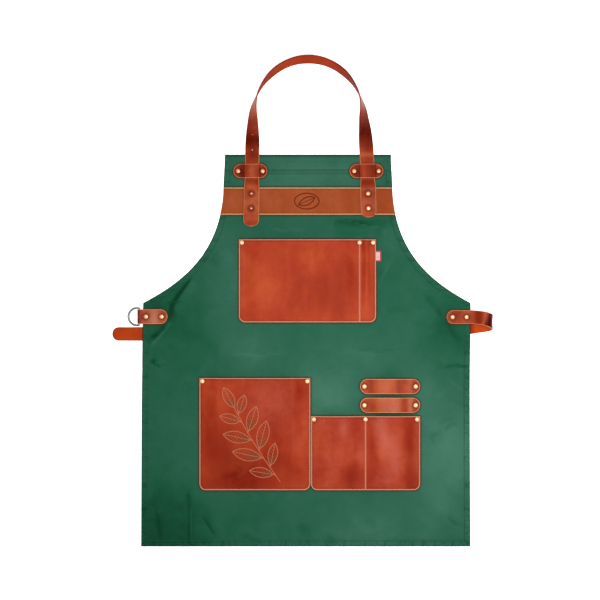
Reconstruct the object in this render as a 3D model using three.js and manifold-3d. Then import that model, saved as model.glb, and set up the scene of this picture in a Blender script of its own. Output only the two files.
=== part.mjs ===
// Gardening apron of green canvas with leather straps, pockets and loops, lying flat with its front up.
// Millimetres. X runs to the right of the front, Y up the apron to the neck, Z up out of the cloth.
// Heights along Y are counted from the bottom hem until the whole apron is centred on its own box.

import * as THREE from "three";
import { mergeVertices } from "three/addons/utils/BufferGeometryUtils.js";
import Module from "manifold-3d";

const wasm = await Module();
wasm.setup();

// Clearance between pieces that touch, and the layers of cloth and leather
const gap = 0.3;
const canvasThickness = 1.2;
const hemFold = 1.2;
const panelThickness = 1.8;
const strapThickness = 3;
const tabThickness = 2;
const labelThickness = 1;

// Canvas body
const bodyHeight = 800;
const hemHalfWidth = 336;
const hipHalfWidth = 334;
const hipHeight = 497;
const armholeBelowTop = 76;
const chestHalfWidth = 172.5;
const bibHalfWidth = 169.5;
const bibShift = 4.5;
const armholeUpperPull = 134;
const armholeUpperAngle = 3.4;
const armholeLowerPull = 79;
const armholeLowerAngle = 61.5;
const sideHem = 12;
const bottomHem = 12;
const topHem = 38;

// Chest band
const bandDepth = 56;
const bandBelowTop = 67;

// Neck strap, its keepers and its studs
const neckWidth = 29;
const neckEndWidth = 32;
const archHalfWidth = 113;
const archRise = 119;
const archFoot = 75;
const archShift = 5.3;
const leftLegX = -111.5;
const rightLegX = 128.5;
const legKnee = 13;
const legKneeIn = 2.5;
const studPitch = 30;
const studBelowBandTop = 12.5;
const leftTail = 37;
const rightTail = 18.5;
const tailRound = 11;
const bandStepAbove = 16;
const bandStepLength = 12;
const endWidening = 25;
const strapLeavesBib = 2;
const strapSinkRun = 20;
const firstAdjustingHole = 4;
const adjustingHoleCount = 2;
const adjustingHoleRadius = 2;
const keeperBelowTop = 33.5;
const keeperHalfLength = 34.5;
const keeperHalfWidth = 14.5;
const keeperRivetX = 25;
const keeperPlay = 0.6;
const keeperRamp = 2;
const leftKeeperShift = -3.2;
const rightKeeperShift = -1.8;

// Pockets: size, distance from the bottom hem or the band, corner radius and dividing seams
const pocketCorner = 13;
const pocketSeam = 5;
const pocketRise = 6;
const pocketShoulder = 28;
const pocketShoulderShare = 0.42;
const pocketBulgeShare = 0.55;
const chestPocketLeft = -136.3;
const chestPocketWidth = 280;
const chestPocketDepth = 169.5;
const chestPocketBelowBand = 50;
const penSlotWidth = 33.5;
const lowerPocketBottom = 115;
const lowerLeftPocketLeft = -217;
const lowerLeftPocketWidth = 226.5;
const lowerLeftPocketDepth = 229;
const lowerRightPocketWidth = 223;
const lowerRightPocketDepth = 151;
const lowerPocketSpace = 1.2;
const pocketRivetInset = 6;
const pocketRivetDrop = 6.5;

// Tool loops above the lower right pocket
const toolLoopHalfLength = 61.3;
const toolLoopHalfWidth = 15.4;
const toolLoopRise = 5.4;
const toolLoopShoulder = 22;
const toolLoopRivetInset = 9;
const toolLoopAbovePocket = 7;
const toolLoopSpace = 7.5;

// Label at the side of the chest pocket
const labelWidth = 10.4;
const labelHeight = 22.3;
const labelBelowMouth = 23;

// Tab and D-ring on the left hip
const tabWidth = 30;
const tabReach = 52;
const tabBelowHip = 27.7;
const tabRivetNear = 8.2;
const tabRivetFar = 40;
const tabFoldInset = 2;
const ringWire = 3.6;
const ringOuterWidth = 39;
const ringDepth = 24.5;
const ringBarOutside = 5;
const ringCorner = 2.1;
const ringPlay = 0.5;
const ringSides = 6;

// Waist strap: riveted to the right hip, bent round and led back behind the body to the left
const waistWidth = 28;
const waistBelowHip = 28.5;
const waistBackBelowHip = 49.5;
const waistTailBelowHip = 63;
const waistInset = 46.5;
const waistRivetFar = 34;
const waistRivetNear = 5.5;
const waistLoopReach = 47;
const waistLoopHeight = 23;
const waistTailReach = 60.5;
const waistRound = 12;
const waistBendShare = 3.4;
const waistBendStart = 0.2;
const ridgeShoulder = 60;
const ridgeMargin = 3;
const tabLiftShoulder = 45;
const studLiftShoulder = 40;

// Rivets and ball studs
const capRadius = 4.7;
const capHeight = 1.7;
const studRadius = 3.2;
const studHeight = 3.4;
const postRadius = 1.5;
const backCapRadius = 4.2;
const backCapThickness = 0.9;
const capSides = 9;
const holeSides = 6;
const holeToolLength = 24;
const holeToolDrop = 6;

// Turn of the neck strap about its own line, from the arch's middle (share 0) to flat on the bib (share 1)
const neckTwist = [
  { share: 0, degrees: 127 },
  { share: 0.33, degrees: 116 },
  { share: 0.456, degrees: 101 },
  { share: 0.556, degrees: 87 },
  { share: 0.66, degrees: 62 },
  { share: 0.722, degrees: 50 },
  { share: 0.79, degrees: 38 },
  { share: 0.853, degrees: 24 },
  { share: 0.917, degrees: 11 },
  { share: 1, degrees: 0 },
];

// Bend of the waist strap: out past the body's edge, down towards the back run, and up off the floor,
// as shares of waistLoopReach, of the drop from the front run to the back run, and of waistLoopHeight
const waistBend = [
  { out: 0.16, down: 0.0, up: 0.36 },
  { out: 0.42, down: 0.05, up: 0.68 },
  { out: 0.68, down: 0.14, up: 0.94 },
  { out: 0.86, down: 0.28, up: 0.97 },
  { out: 0.97, down: 0.44, up: 0.72 },
  { out: 0.98, down: 0.58, up: 0.4 },
  { out: 0.88, down: 0.7, up: 0.14 },
  { out: 0.66, down: 0.8, up: 0.03 },
  { out: 0.35, down: 0.9, up: 0.0 },
];

// Soft folds of the cloth: ends as shares of the hip's half width and of bodyHeight,
// width as a share of hipHalfWidth and rise as a share of the fold's own width
const clothFolds = [
  { x0: -0.72, y0: 0.66, x1: -0.765, y1: 0.53, width: 0.06, rise: 0.14 },
  { x0: -0.78, y0: 0.53, x1: -0.9, y1: 0.49, width: 0.055, rise: 0.12 },
  { x0: -0.83, y0: 0.13, x1: -0.82, y1: 0.0, width: 0.075, rise: 0.12 },
  { x0: 0.67, y0: 0.65, x1: 0.775, y1: 0.52, width: 0.08, rise: 0.12 },
  { x0: 0.86, y0: 0.2, x1: 0.9, y1: 0.06, width: 0.08, rise: 0.1 },
];

// Rounded strap ends: where their outline is sampled, as shares of the rounding, and the flat left at the tip
const roundShares = [0, 0.08, 0.2, 0.4, 0.68, 1];
const tipShare = 0.04;

const foldEndShare = 0.35;
const hemStep = 0.6;
const slopeReach = 2;

const canvasFront = hemFold + canvasThickness;
const ringRadius = (ringOuterWidth - ringWire) / 2;
const hipY = hipHeight;
const armholeTop = bodyHeight - armholeBelowTop;
const tabY = hipY - tabBelowHip;
const waistFrontY = hipY - waistBelowHip;
const bandTop = bodyHeight - bandBelowTop;
const bandBottom = bandTop - bandDepth;
const upperStudY = bandTop - studBelowBandTop;
const lowerStudY = upperStudY - studPitch;
const keeperY = bodyHeight - keeperBelowTop;

const canvasLook = new THREE.MeshStandardMaterial({ color: 0x2f6a52, roughness: 0.9, metalness: 0 });
const panelLook = new THREE.MeshStandardMaterial({ color: 0xa63a22, roughness: 0.5, metalness: 0 });
const bandLook = new THREE.MeshStandardMaterial({ color: 0xa6512f, roughness: 0.6, metalness: 0 });
const strapLook = new THREE.MeshStandardMaterial({ color: 0x9c3a1e, roughness: 0.45, metalness: 0 });
const labelLook = new THREE.MeshStandardMaterial({ color: 0xc42a30, roughness: 0.8, metalness: 0 });
const brassLook = new THREE.MeshStandardMaterial({ color: 0xe8b98a, roughness: 0.25, metalness: 1 });
const chromeLook = new THREE.MeshStandardMaterial({ color: 0xc8cac6, roughness: 0.15, metalness: 1 });

const lerp = THREE.MathUtils.lerp;
const smooth = (value) => THREE.MathUtils.smoothstep(value, 0, 1);
const flat = (x, y) => new THREE.Vector2(x, y);

const apron = new THREE.Group();

function addPiece(name, geometry, look) {
  const mesh = new THREE.Mesh(geometry, look);
  mesh.name = name;
  apron.add(mesh);
  return mesh;
}

function closedMesh(points, triangles) {
  const geometry = new THREE.BufferGeometry();
  geometry.setAttribute("position", new THREE.Float32BufferAttribute(points, 3));
  geometry.setIndex(triangles);
  return geometry;
}

function toSolid(geometry) {
  const bare = geometry.clone();
  bare.deleteAttribute("normal");
  bare.deleteAttribute("uv");
  const merged = mergeVertices(bare, 1e-4);
  return new wasm.Manifold(
    new wasm.Mesh({
      numProp: 3,
      vertProperties: new Float32Array(merged.attributes.position.array),
      triVerts: new Uint32Array(merged.index.array),
    }),
  );
}

function drilled(geometry, holes) {
  let solid = toSolid(geometry);
  for (const hole of holes) {
    solid = solid.subtract(toSolid(hole));
  }
  const mesh = solid.getMesh();
  return closedMesh(Array.from(mesh.vertProperties), Array.from(mesh.triVerts));
}

// A sheet given by rows and columns of points, each with its underside and top: [x, y, low, high]
function slab(rowCount, columnCount, place) {
  const points = [];
  for (let row = 0; row < rowCount; row++) {
    for (let column = 0; column < columnCount; column++) {
      const [x, y, low, high] = place(row, column);
      points.push(x, y, low, x, y, high);
    }
  }
  const low = (row, column) => 2 * (row * columnCount + column);
  const high = (row, column) => low(row, column) + 1;
  const triangles = [];
  for (let row = 0; row + 1 < rowCount; row++) {
    for (let column = 0; column + 1 < columnCount; column++) {
      const near = column + 1;
      const up = row + 1;
      triangles.push(high(row, column), high(row, near), high(up, near));
      triangles.push(high(row, column), high(up, near), high(up, column));
      triangles.push(low(row, column), low(up, near), low(row, near));
      triangles.push(low(row, column), low(up, column), low(up, near));
    }
  }
  const rim = [];
  for (let column = 0; column < columnCount - 1; column++) {
    rim.push([0, column]);
  }
  for (let row = 0; row < rowCount - 1; row++) {
    rim.push([row, columnCount - 1]);
  }
  for (let column = columnCount - 1; column > 0; column--) {
    rim.push([rowCount - 1, column]);
  }
  for (let row = rowCount - 1; row > 0; row--) {
    rim.push([row, 0]);
  }
  rim.forEach((here, index) => {
    const next = rim[(index + 1) % rim.length];
    triangles.push(low(...here), low(...next), high(...next));
    triangles.push(low(...here), high(...next), high(...here));
  });
  return closedMesh(points, triangles);
}

// A strap through stations, each with its middle, its across direction, its normal and its half width
function ribbon(stations, thickness) {
  const points = [];
  const corners = [[-1, -1], [-1, 1], [1, 1], [1, -1]];
  for (const station of stations) {
    for (const [side, face] of corners) {
      const corner = station.middle.clone();
      corner.addScaledVector(station.across, side * station.half);
      corner.addScaledVector(station.normal, (face * thickness) / 2);
      points.push(corner.x, corner.y, corner.z);
    }
  }
  const triangles = [0, 1, 2, 0, 2, 3];
  for (let index = 0; index + 1 < stations.length; index++) {
    const here = 4 * index;
    const next = here + 4;
    for (let corner = 0; corner < 4; corner++) {
      const turn = (corner + 1) % 4;
      triangles.push(here + corner, next + corner, next + turn);
      triangles.push(here + corner, next + turn, here + turn);
    }
  }
  const last = 4 * (stations.length - 1);
  triangles.push(last, last + 2, last + 1, last, last + 3, last + 2);
  return closedMesh(points, triangles);
}

// Half width of a strap near a rounded end, from full width down to a narrow flat tip
function roundedHalf(half, fromEnd, round) {
  const inside = Math.min(1, fromEnd / round + tipShare);
  return half * Math.sqrt(1 - (1 - inside) ** 2);
}

// Distances from a rounded end where its outline is sampled
function roundSteps(round) {
  return roundShares.map((share) => share * round);
}

function xAtHeight(curve, height) {
  const points = curve.getPoints(160);
  const rising = points[0].y < points[points.length - 1].y;
  const ordered = rising ? points : points.slice().reverse();
  for (let index = 0; index + 1 < ordered.length; index++) {
    const low = ordered[index];
    const high = ordered[index + 1];
    if (height <= high.y) {
      const share = THREE.MathUtils.clamp((height - low.y) / (high.y - low.y), 0, 1);
      return lerp(low.x, high.x, share);
    }
  }
  return ordered[ordered.length - 1].x;
}

// Outline of the canvas body

const radians = THREE.MathUtils.degToRad;
const armhole = new THREE.CubicBezierCurve(
  flat(chestHalfWidth, armholeTop),
  flat(
    chestHalfWidth + armholeUpperPull * Math.sin(radians(armholeUpperAngle)),
    armholeTop - armholeUpperPull * Math.cos(radians(armholeUpperAngle)),
  ),
  flat(
    hipHalfWidth - armholeLowerPull * Math.sin(radians(armholeLowerAngle)),
    hipY + armholeLowerPull * Math.cos(radians(armholeLowerAngle)),
  ),
  flat(hipHalfWidth, hipY),
);

function bodyHalfWidth(y) {
  if (y >= armholeTop) {
    return lerp(chestHalfWidth, bibHalfWidth, smooth((y - armholeTop) / (bodyHeight - armholeTop)));
  }
  if (y >= hipY) return xAtHeight(armhole, y);
  return lerp(hemHalfWidth, hipHalfWidth, y / hipY);
}

function bodyCentre(y) {
  return bibShift * smooth((y - 0.5 * hipY) / (armholeTop - 0.5 * hipY));
}

// Lift of the cloth over what lies behind it

function waistLineY(x) {
  const share = (x + hipHalfWidth) / (2 * hipHalfWidth);
  return lerp(hipY - waistTailBelowHip, hipY - waistBackBelowHip, share);
}

function plateau(distance, inner, shoulder) {
  return 1 - smooth((distance - inner) / shoulder);
}

const ridgeHeight = strapThickness + gap;
const tabLift = backCapThickness + gap + tabThickness + gap;
const tabEdgeX = -hipHalfWidth;

function foldRise(x, y) {
  let rise = 0;
  for (const fold of clothFolds) {
    const start = flat(fold.x0 * hipHalfWidth, fold.y0 * bodyHeight);
    const along = flat(fold.x1 * hipHalfWidth, fold.y1 * bodyHeight).sub(start);
    const width = fold.width * hipHalfWidth;
    const from = flat(x, y).sub(start);
    const share = THREE.MathUtils.clamp(from.dot(along) / along.lengthSq(), 0, 1);
    const distance = from.sub(along.clone().multiplyScalar(share)).length();
    const taper = lerp(foldEndShare, 1, Math.sin(Math.PI * share));
    const bump = Math.max(0, 1 - (distance / width) ** 2);
    rise += fold.rise * width * taper * bump * bump;
  }
  return rise;
}

function clothLift(x, y) {
  const fromStrap = Math.abs(y - waistLineY(x));
  const ridge = ridgeHeight * plateau(fromStrap, waistWidth / 2 + ridgeMargin, ridgeShoulder);
  const overTab =
    plateau(x - tabEdgeX, tabReach + ridgeMargin, tabLiftShoulder) *
    plateau(Math.abs(y - tabY), tabWidth / 2 + ridgeMargin, tabLiftShoulder);
  const overStuds = smooth((y - keeperY + keeperHalfWidth + studLiftShoulder) / studLiftShoulder);
  const bib = (backCapThickness + gap) * overStuds;
  return lerp(ridge, tabLift, overTab) + bib + foldRise(x, y);
}

const clothTop = (x, y) => clothLift(x, y) + canvasFront;
const pieceSeat = (x, y) => clothTop(x, y) + gap;

// Heights of the cloth all round a rivet's cap, so that the cap clears leather that slopes
function heightsRound(x, y, radius) {
  const turns = [0, 45, 90, 135, 180, 225, 270, 315].map((angle) => radians(angle));
  const round = turns.map((turn) => clothLift(x + radius * Math.cos(turn), y + radius * Math.sin(turn)));
  return [clothLift(x, y), ...round];
}

const highestRound = (x, y) => Math.max(...heightsRound(x, y, capRadius));
const lowestRound = (x, y) => Math.min(...heightsRound(x, y, backCapRadius));

// Canvas body: one sheet with its hems folded to the back

function spread(from, to, count) {
  return Array.from({ length: count }, (_, index) => lerp(from, to, (index + 1) / (count + 1)));
}

function canvasBody(holes) {
  const ridgeLow = hipY - waistTailBelowHip - waistWidth / 2 - ridgeShoulder;
  const rows = [
    0,
    bottomHem,
    bottomHem + hemStep,
    ...spread(bottomHem, ridgeLow, 8),
    ridgeLow,
    ...spread(ridgeLow, hipY, 11),
    hipY,
    ...spread(hipY, armholeTop, 14),
    armholeTop,
    ...spread(armholeTop, bodyHeight - topHem - hemStep, 2),
    bodyHeight - topHem - hemStep,
    bodyHeight - topHem,
    bodyHeight,
  ];
  const inner = [0, 0.04, 0.085, 0.135, 0.19, 0.26, 0.37, 0.5];
  const shares = [...inner, ...inner.slice(0, -1).reverse().map((share) => 1 - share)];
  const columnCount = shares.length + 4;
  const place = (row, column) => {
    const y = rows[row];
    const half = bodyHalfWidth(y);
    const below = bodyHalfWidth(Math.max(0, y - slopeReach));
    const above = bodyHalfWidth(Math.min(bodyHeight, y + slopeReach));
    const hem = sideHem * Math.hypot(1, (below - above) / (2 * slopeReach));
    const left = bodyCentre(y) - half;
    const right = bodyCentre(y) + half;
    const hems = { 0: left, 1: left + hem, [columnCount - 2]: right - hem, [columnCount - 1]: right };
    const x = hems[column] ?? lerp(left + hem + hemStep, right - hem - hemStep, shares[column - 2]);
    const folded =
      column < 2 || column > columnCount - 3 || y <= bottomHem || y >= bodyHeight - topHem;
    const low = clothLift(x, y) + (folded ? 0 : hemFold);
    return [x, y, low, clothTop(x, y)];
  };
  addPiece("canvas_body", drilled(slab(rows.length, columnCount, place), holes), canvasLook);
}

// Chest band: leather from edge to edge of the bib

function chestBand(holes) {
  const rows = 5;
  const columns = 7;
  const place = (row, column) => {
    const y = lerp(bandBottom, bandTop, row / (rows - 1));
    const x = bodyCentre(y) + bodyHalfWidth(y) * lerp(-1, 1, column / (columns - 1));
    return [x, y, pieceSeat(x, y), pieceSeat(x, y) + panelThickness];
  };
  addPiece("chest_band", drilled(slab(rows, columns, place), holes), bandLook);
}

// Pockets: a leather panel sewn down at its sides, foot and dividing seams, and bulging at its mouth

function compartments(pocket) {
  const seams = [pocket.left, ...pocket.dividers, pocket.left + pocket.width];
  return seams.slice(1).map((right, index) => {
    const outerLeft = index === 0;
    const outerRight = index === seams.length - 2;
    const rivetSide = pocketRivetInset + capRadius;
    return {
      left: seams[index] + (outerLeft ? rivetSide : capRadius + gap),
      right: right - (outerRight ? rivetSide : capRadius + gap),
    };
  });
}

function shoulderOf(room) {
  return Math.min(pocketShoulder, pocketShoulderShare * (room.right - room.left));
}

function pocketBulge(pocket, x, y) {
  const fromFoot = y - pocket.bottom - pocketSeam;
  const upward = smooth(fromFoot / (pocketBulgeShare * pocket.depth));
  for (const room of compartments(pocket)) {
    if (x > room.left && x < room.right) {
      const shoulder = shoulderOf(room);
      const inside = Math.min(x - room.left, room.right - x);
      return pocketRise * smooth(inside / shoulder) * upward;
    }
  }
  return 0;
}

function pocketColumns(pocket) {
  const columns = [pocket.left];
  for (const room of compartments(pocket)) {
    const shoulder = shoulderOf(room);
    const wide = room.right - room.left > 4 * shoulder;
    columns.push(room.left, room.left + shoulder / 2, room.left + shoulder);
    columns.push(...(wide ? [(room.left + room.right) / 2] : []));
    columns.push(room.right - shoulder, room.right - shoulder / 2, room.right);
  }
  columns.push(pocket.left + pocket.width);
  return columns;
}

function pocketPanel(pocket, holes) {
  const top = pocket.bottom + pocket.depth;
  const cornerRows = [0, 20, 40, 60, 90].map((angle) => pocketCorner * (1 - Math.cos(radians(angle))));
  const rows = [
    ...cornerRows.map((rise) => pocket.bottom + rise),
    ...spread(pocket.bottom + pocketCorner, top, pocket.rows),
    top,
  ];
  const columns = pocketColumns(pocket);
  const place = (row, column) => {
    const y = rows[row];
    const belowRound = Math.max(0, pocket.bottom + pocketCorner - y);
    const pulledIn = pocketCorner - Math.sqrt(Math.max(0, pocketCorner ** 2 - belowRound ** 2));
    const left = pocket.left + pulledIn;
    const right = pocket.left + pocket.width - pulledIn;
    const x = THREE.MathUtils.clamp(columns[column], left, right);
    const shifted = column === 1 ? Math.max(x, left + 1) : x;
    const inside = column === columns.length - 2 ? Math.min(shifted, right - 1) : shifted;
    const low = pieceSeat(inside, y) + pocketBulge(pocket, inside, y);
    return [inside, y, low, low + panelThickness];
  };
  addPiece(pocket.name, drilled(slab(rows.length, columns.length, place), holes), panelLook);
}

const chestPocket = {
  name: "chest_pocket",
  left: chestPocketLeft,
  width: chestPocketWidth,
  bottom: bandBottom - chestPocketBelowBand - chestPocketDepth,
  depth: chestPocketDepth,
  dividers: [chestPocketLeft + chestPocketWidth - penSlotWidth],
  rows: 10,
};
const lowerLeftPocket = {
  name: "lower_left_pocket",
  left: lowerLeftPocketLeft,
  width: lowerLeftPocketWidth,
  bottom: lowerPocketBottom,
  depth: lowerLeftPocketDepth,
  dividers: [],
  rows: 6,
};
const lowerRightPocket = {
  name: "lower_right_pocket",
  left: lowerLeftPocketLeft + lowerLeftPocketWidth + lowerPocketSpace,
  width: lowerRightPocketWidth,
  bottom: lowerPocketBottom,
  depth: lowerRightPocketDepth,
  dividers: [lowerLeftPocketLeft + lowerLeftPocketWidth + lowerPocketSpace + lowerRightPocketWidth / 2],
  rows: 5,
};
const pockets = [chestPocket, lowerLeftPocket, lowerRightPocket];

// Short leather strips with round ends, held by a rivet at each end: keepers and tool loops

const lowerRightMouth = lowerRightPocket.bottom + lowerRightPocket.depth;
const toolLoopX = lowerRightPocket.left + lowerRightPocket.width - toolLoopHalfLength;
const lowerLoopY = lowerRightMouth + toolLoopAbovePocket + toolLoopHalfWidth;
const upperLoopY = lowerLoopY + 2 * toolLoopHalfWidth + toolLoopSpace;

// Line of the neck strap seen from the front, from the left end over the arch to the right end

const archFootY = bodyHeight + archFoot;
const kneeY = bodyHeight + legKnee;
const leftLeg = new THREE.QuadraticBezierCurve(
  flat(leftLegX, lowerStudY - leftTail),
  flat(leftLegX + legKneeIn, kneeY),
  flat(archShift - archHalfWidth, archFootY),
);
const arch = new THREE.EllipseCurve(archShift, archFootY, archHalfWidth, archRise, Math.PI, 0, true);
const rightLeg = new THREE.QuadraticBezierCurve(
  flat(archShift + archHalfWidth, archFootY),
  flat(rightLegX - legKneeIn, kneeY),
  flat(rightLegX, lowerStudY - rightTail),
);
const neckLine = new THREE.CurvePath();
neckLine.add(leftLeg);
neckLine.add(arch);
neckLine.add(rightLeg);

const strapOnBib = pieceSeat(leftLegX, keeperY) + strapThickness / 2;
const strapOnBand = pieceSeat(leftLegX, bandTop) + panelThickness + gap + strapThickness / 2;

const bump = (x, inner, ramp) => 1 - smooth((Math.abs(x) - inner) / ramp);
const keeperLift = strapThickness + gap;
const strips = [];
const keepers = [
  { name: "left_keeper", leg: leftLeg, shift: leftKeeperShift },
  { name: "right_keeper", leg: rightLeg, shift: rightKeeperShift },
];
for (const { name, leg, shift } of keepers) {
  const inner = neckWidth / 2 + keeperPlay;
  const ramp = [0, 0.5, 1].map((share) => inner + share * keeperRamp);
  strips.push({
    name,
    x: xAtHeight(leg, keeperY) + shift,
    y: keeperY,
    halfLength: keeperHalfLength,
    halfWidth: keeperHalfWidth,
    rivetX: keeperRivetX,
    steps: [...ramp.map((x) => -x - shift), ...ramp.map((x) => x - shift)],
    rise: (x) => keeperLift * bump(x + shift, inner, keeperRamp),
    look: strapLook,
  });
}
for (const [name, y] of [["upper_tool_loop", upperLoopY], ["lower_tool_loop", lowerLoopY]]) {
  const foot = toolLoopHalfLength - 2 * toolLoopRivetInset;
  const slope = [0, 0.3, 0.7, 1].map((share) => foot - (1 - share) * toolLoopShoulder);
  strips.push({
    name,
    x: toolLoopX,
    y,
    halfLength: toolLoopHalfLength,
    halfWidth: toolLoopHalfWidth,
    rivetX: toolLoopHalfLength - toolLoopRivetInset,
    steps: [...slope.map((x) => -x), ...slope],
    rise: (x) => toolLoopRise * bump(x, foot - toolLoopShoulder, toolLoopShoulder),
    look: panelLook,
  });
}

function strip(piece, holes) {
  const ends = roundSteps(piece.halfWidth).map((step) => piece.halfLength - step);
  const columns = [...ends.map((x) => -x), ...piece.steps, ...ends].sort((a, b) => a - b);
  const rows = [-1, 1];
  const place = (row, column) => {
    const along = columns[column];
    const reach = roundedHalf(piece.halfWidth, piece.halfLength - Math.abs(along), piece.halfWidth);
    const x = piece.x + along;
    const y = piece.y + rows[row] * reach;
    const low = pieceSeat(x, y) + piece.rise(along);
    return [x, y, low, low + panelThickness];
  };
  addPiece(piece.name, drilled(slab(rows.length, columns.length, place), holes), piece.look);
}

// Neck strap

function twistAt(share) {
  if (share >= 1) return 0;
  const upper = neckTwist.findIndex((row) => row.share > share);
  const low = neckTwist[upper - 1];
  const high = neckTwist[upper];
  return radians(lerp(low.degrees, high.degrees, (share - low.share) / (high.share - low.share)));
}

function neckStations() {
  const total = neckLine.getLength();
  const middle = leftLeg.getLength() + arch.getLength() / 2;
  const legHeight = archFootY - lowerStudY + leftTail;
  const flatFrom = leftLeg.getLength() * (1 - (archFoot - strapLeavesBib) / legHeight);
  const twistLength = middle - flatFrom;
  const flatTo = middle + twistLength;
  const step = 10;
  const distances = [
    ...roundSteps(tailRound),
    ...spread(tailRound, flatFrom, 13),
    flatFrom,
    ...spread(flatFrom, flatTo, Math.round((2 * twistLength) / step)),
    flatTo,
    ...spread(flatTo, total - tailRound, 12),
    ...roundSteps(tailRound).map((step) => total - step).reverse(),
  ];
  return distances.map((distance) => {
    const here = neckLine.getPoint(distance / total);
    const before = neckLine.getPoint(Math.max(0, distance - 2) / total);
    const after = neckLine.getPoint(Math.min(total, distance + 2) / total);
    const along = after.sub(before).normalize();
    const outward = new THREE.Vector3(-along.y, along.x, 0);
    const turn = twistAt(Math.abs(distance - middle) / twistLength);
    const up = new THREE.Vector3(0, 0, 1);
    const axis = new THREE.Vector3().crossVectors(up, outward);
    const normal = up.clone().applyAxisAngle(axis, turn);
    const across = outward.clone().applyAxisAngle(axis, turn);
    const onEdge = (neckWidth / 2) * Math.sin(turn) + (strapThickness / 2) * Math.abs(Math.cos(turn));
    const onBand = smooth((bandTop + bandStepAbove - here.y) / bandStepLength);
    const resting = lerp(strapOnBib, strapOnBand, onBand);
    const sinking = resting - (here.y - bodyHeight) / strapSinkRun;
    const height = here.y < bodyHeight + gap ? resting : Math.max(sinking, onEdge);
    const widening = smooth((keeperY - keeperHalfWidth - here.y) / endWidening);
    const wide = lerp(neckWidth, neckEndWidth, widening) / 2;
    const fromEnd = Math.min(distance, total - distance);
    return {
      middle: new THREE.Vector3(here.x, here.y, height),
      across,
      normal,
      half: fromEnd < tailRound ? roundedHalf(wide, fromEnd, tailRound) : wide,
    };
  });
}

// A hole tool for a rivet's post, square to the piece it goes through
function holeTool(x, y, z, radius, normal = new THREE.Vector3(0, 0, 1)) {
  const tool = new THREE.CylinderGeometry(radius, radius, holeToolLength, holeSides);
  const turn = new THREE.Quaternion().setFromUnitVectors(new THREE.Vector3(0, 1, 0), normal);
  tool.applyQuaternion(turn);
  tool.translate(x, y, z);
  return tool;
}

function neckStrap(holes) {
  const stations = neckStations();
  const leftSide = stations.slice(0, Math.floor(stations.length / 2));
  const adjusting = [];
  for (let index = 0; index < adjustingHoleCount; index++) {
    const y = lowerStudY + (firstAdjustingHole + index) * studPitch;
    const from = (station) => Math.abs(station.middle.y - y);
    const station = leftSide.reduce((best, one) => (from(one) < from(best) ? one : best));
    const x = xAtHeight(leftLeg, y);
    adjusting.push(holeTool(x, y, station.middle.z, adjustingHoleRadius, station.normal));
  }
  addPiece("neck_strap", drilled(ribbon(stations, strapThickness), [...holes, ...adjusting]), strapLook);
}

// Waist strap: from its round end on the right hip, round the bend and behind the body to the left

const waistSeat = ridgeHeight + canvasFront + gap;
const edgeRight = hipHalfWidth;

function waistStations() {
  const low = strapThickness / 2;
  const high = waistSeat + low;
  const backEdgeY = hipY - waistBackBelowHip;
  const run = [
    new THREE.Vector3(edgeRight - waistInset, waistFrontY, high),
    new THREE.Vector3(edgeRight - waistRivetFar, waistFrontY, high),
    new THREE.Vector3(edgeRight - waistRivetNear, waistFrontY, high),
    new THREE.Vector3(edgeRight + gap, waistFrontY, high),
  ];
  for (const bend of waistBend) {
    const y = lerp(waistFrontY, backEdgeY, bend.down);
    const above = low + bend.up * (waistLoopHeight - low);
    const z = bend.out < waistBendStart ? Math.max(high, above) : above;
    run.push(new THREE.Vector3(edgeRight + bend.out * waistLoopReach - low, y, z));
  }
  const tailX = -hipHalfWidth - waistTailReach;
  for (const x of [edgeRight, ...spread(edgeRight, -hipHalfWidth, 5), -hipHalfWidth]) {
    run.push(new THREE.Vector3(x, waistLineY(x), low));
  }
  run.push(new THREE.Vector3(tailX, waistLineY(-hipHalfWidth), low));
  const line = new THREE.CatmullRomCurve3(run, false, "centripetal");
  line.arcLengthDivisions = 2000;
  const total = line.getLength();
  const bent = waistInset + waistBendShare * waistLoopReach;
  const distances = [
    ...roundSteps(waistRound),
    ...spread(waistRound, bent, 30),
    ...spread(bent, total - waistRound, 16),
    ...roundSteps(waistRound).map((step) => total - step).reverse(),
  ];
  const sideways = new THREE.Vector3(0, 1, 0);
  return distances.map((distance) => {
    const middle = line.getPointAt(distance / total);
    const along = line.getTangentAt(distance / total);
    const across = sideways.clone().addScaledVector(along, -sideways.dot(along)).normalize();
    const normal = new THREE.Vector3().crossVectors(along, across);
    middle.z = Math.max(middle.z, low);
    const fromEnd = Math.min(distance, total - distance);
    const wide = waistWidth / 2;
    const half = fromEnd < waistRound ? roundedHalf(wide, fromEnd, waistRound) : wide;
    return { middle, across, normal, half };
  });
}

// Tab: a leather strip folded round the ring's bar, with one leg over the hem and one behind it

const barX = tabEdgeX - ringBarOutside;
const tabBackZ = backCapThickness + gap + tabThickness / 2;
const tabFrontZ = tabBackZ + tabThickness / 2 + gap + canvasFront + gap + tabThickness / 2;
const barZ = (tabBackZ + tabFrontZ) / 2;

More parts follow.
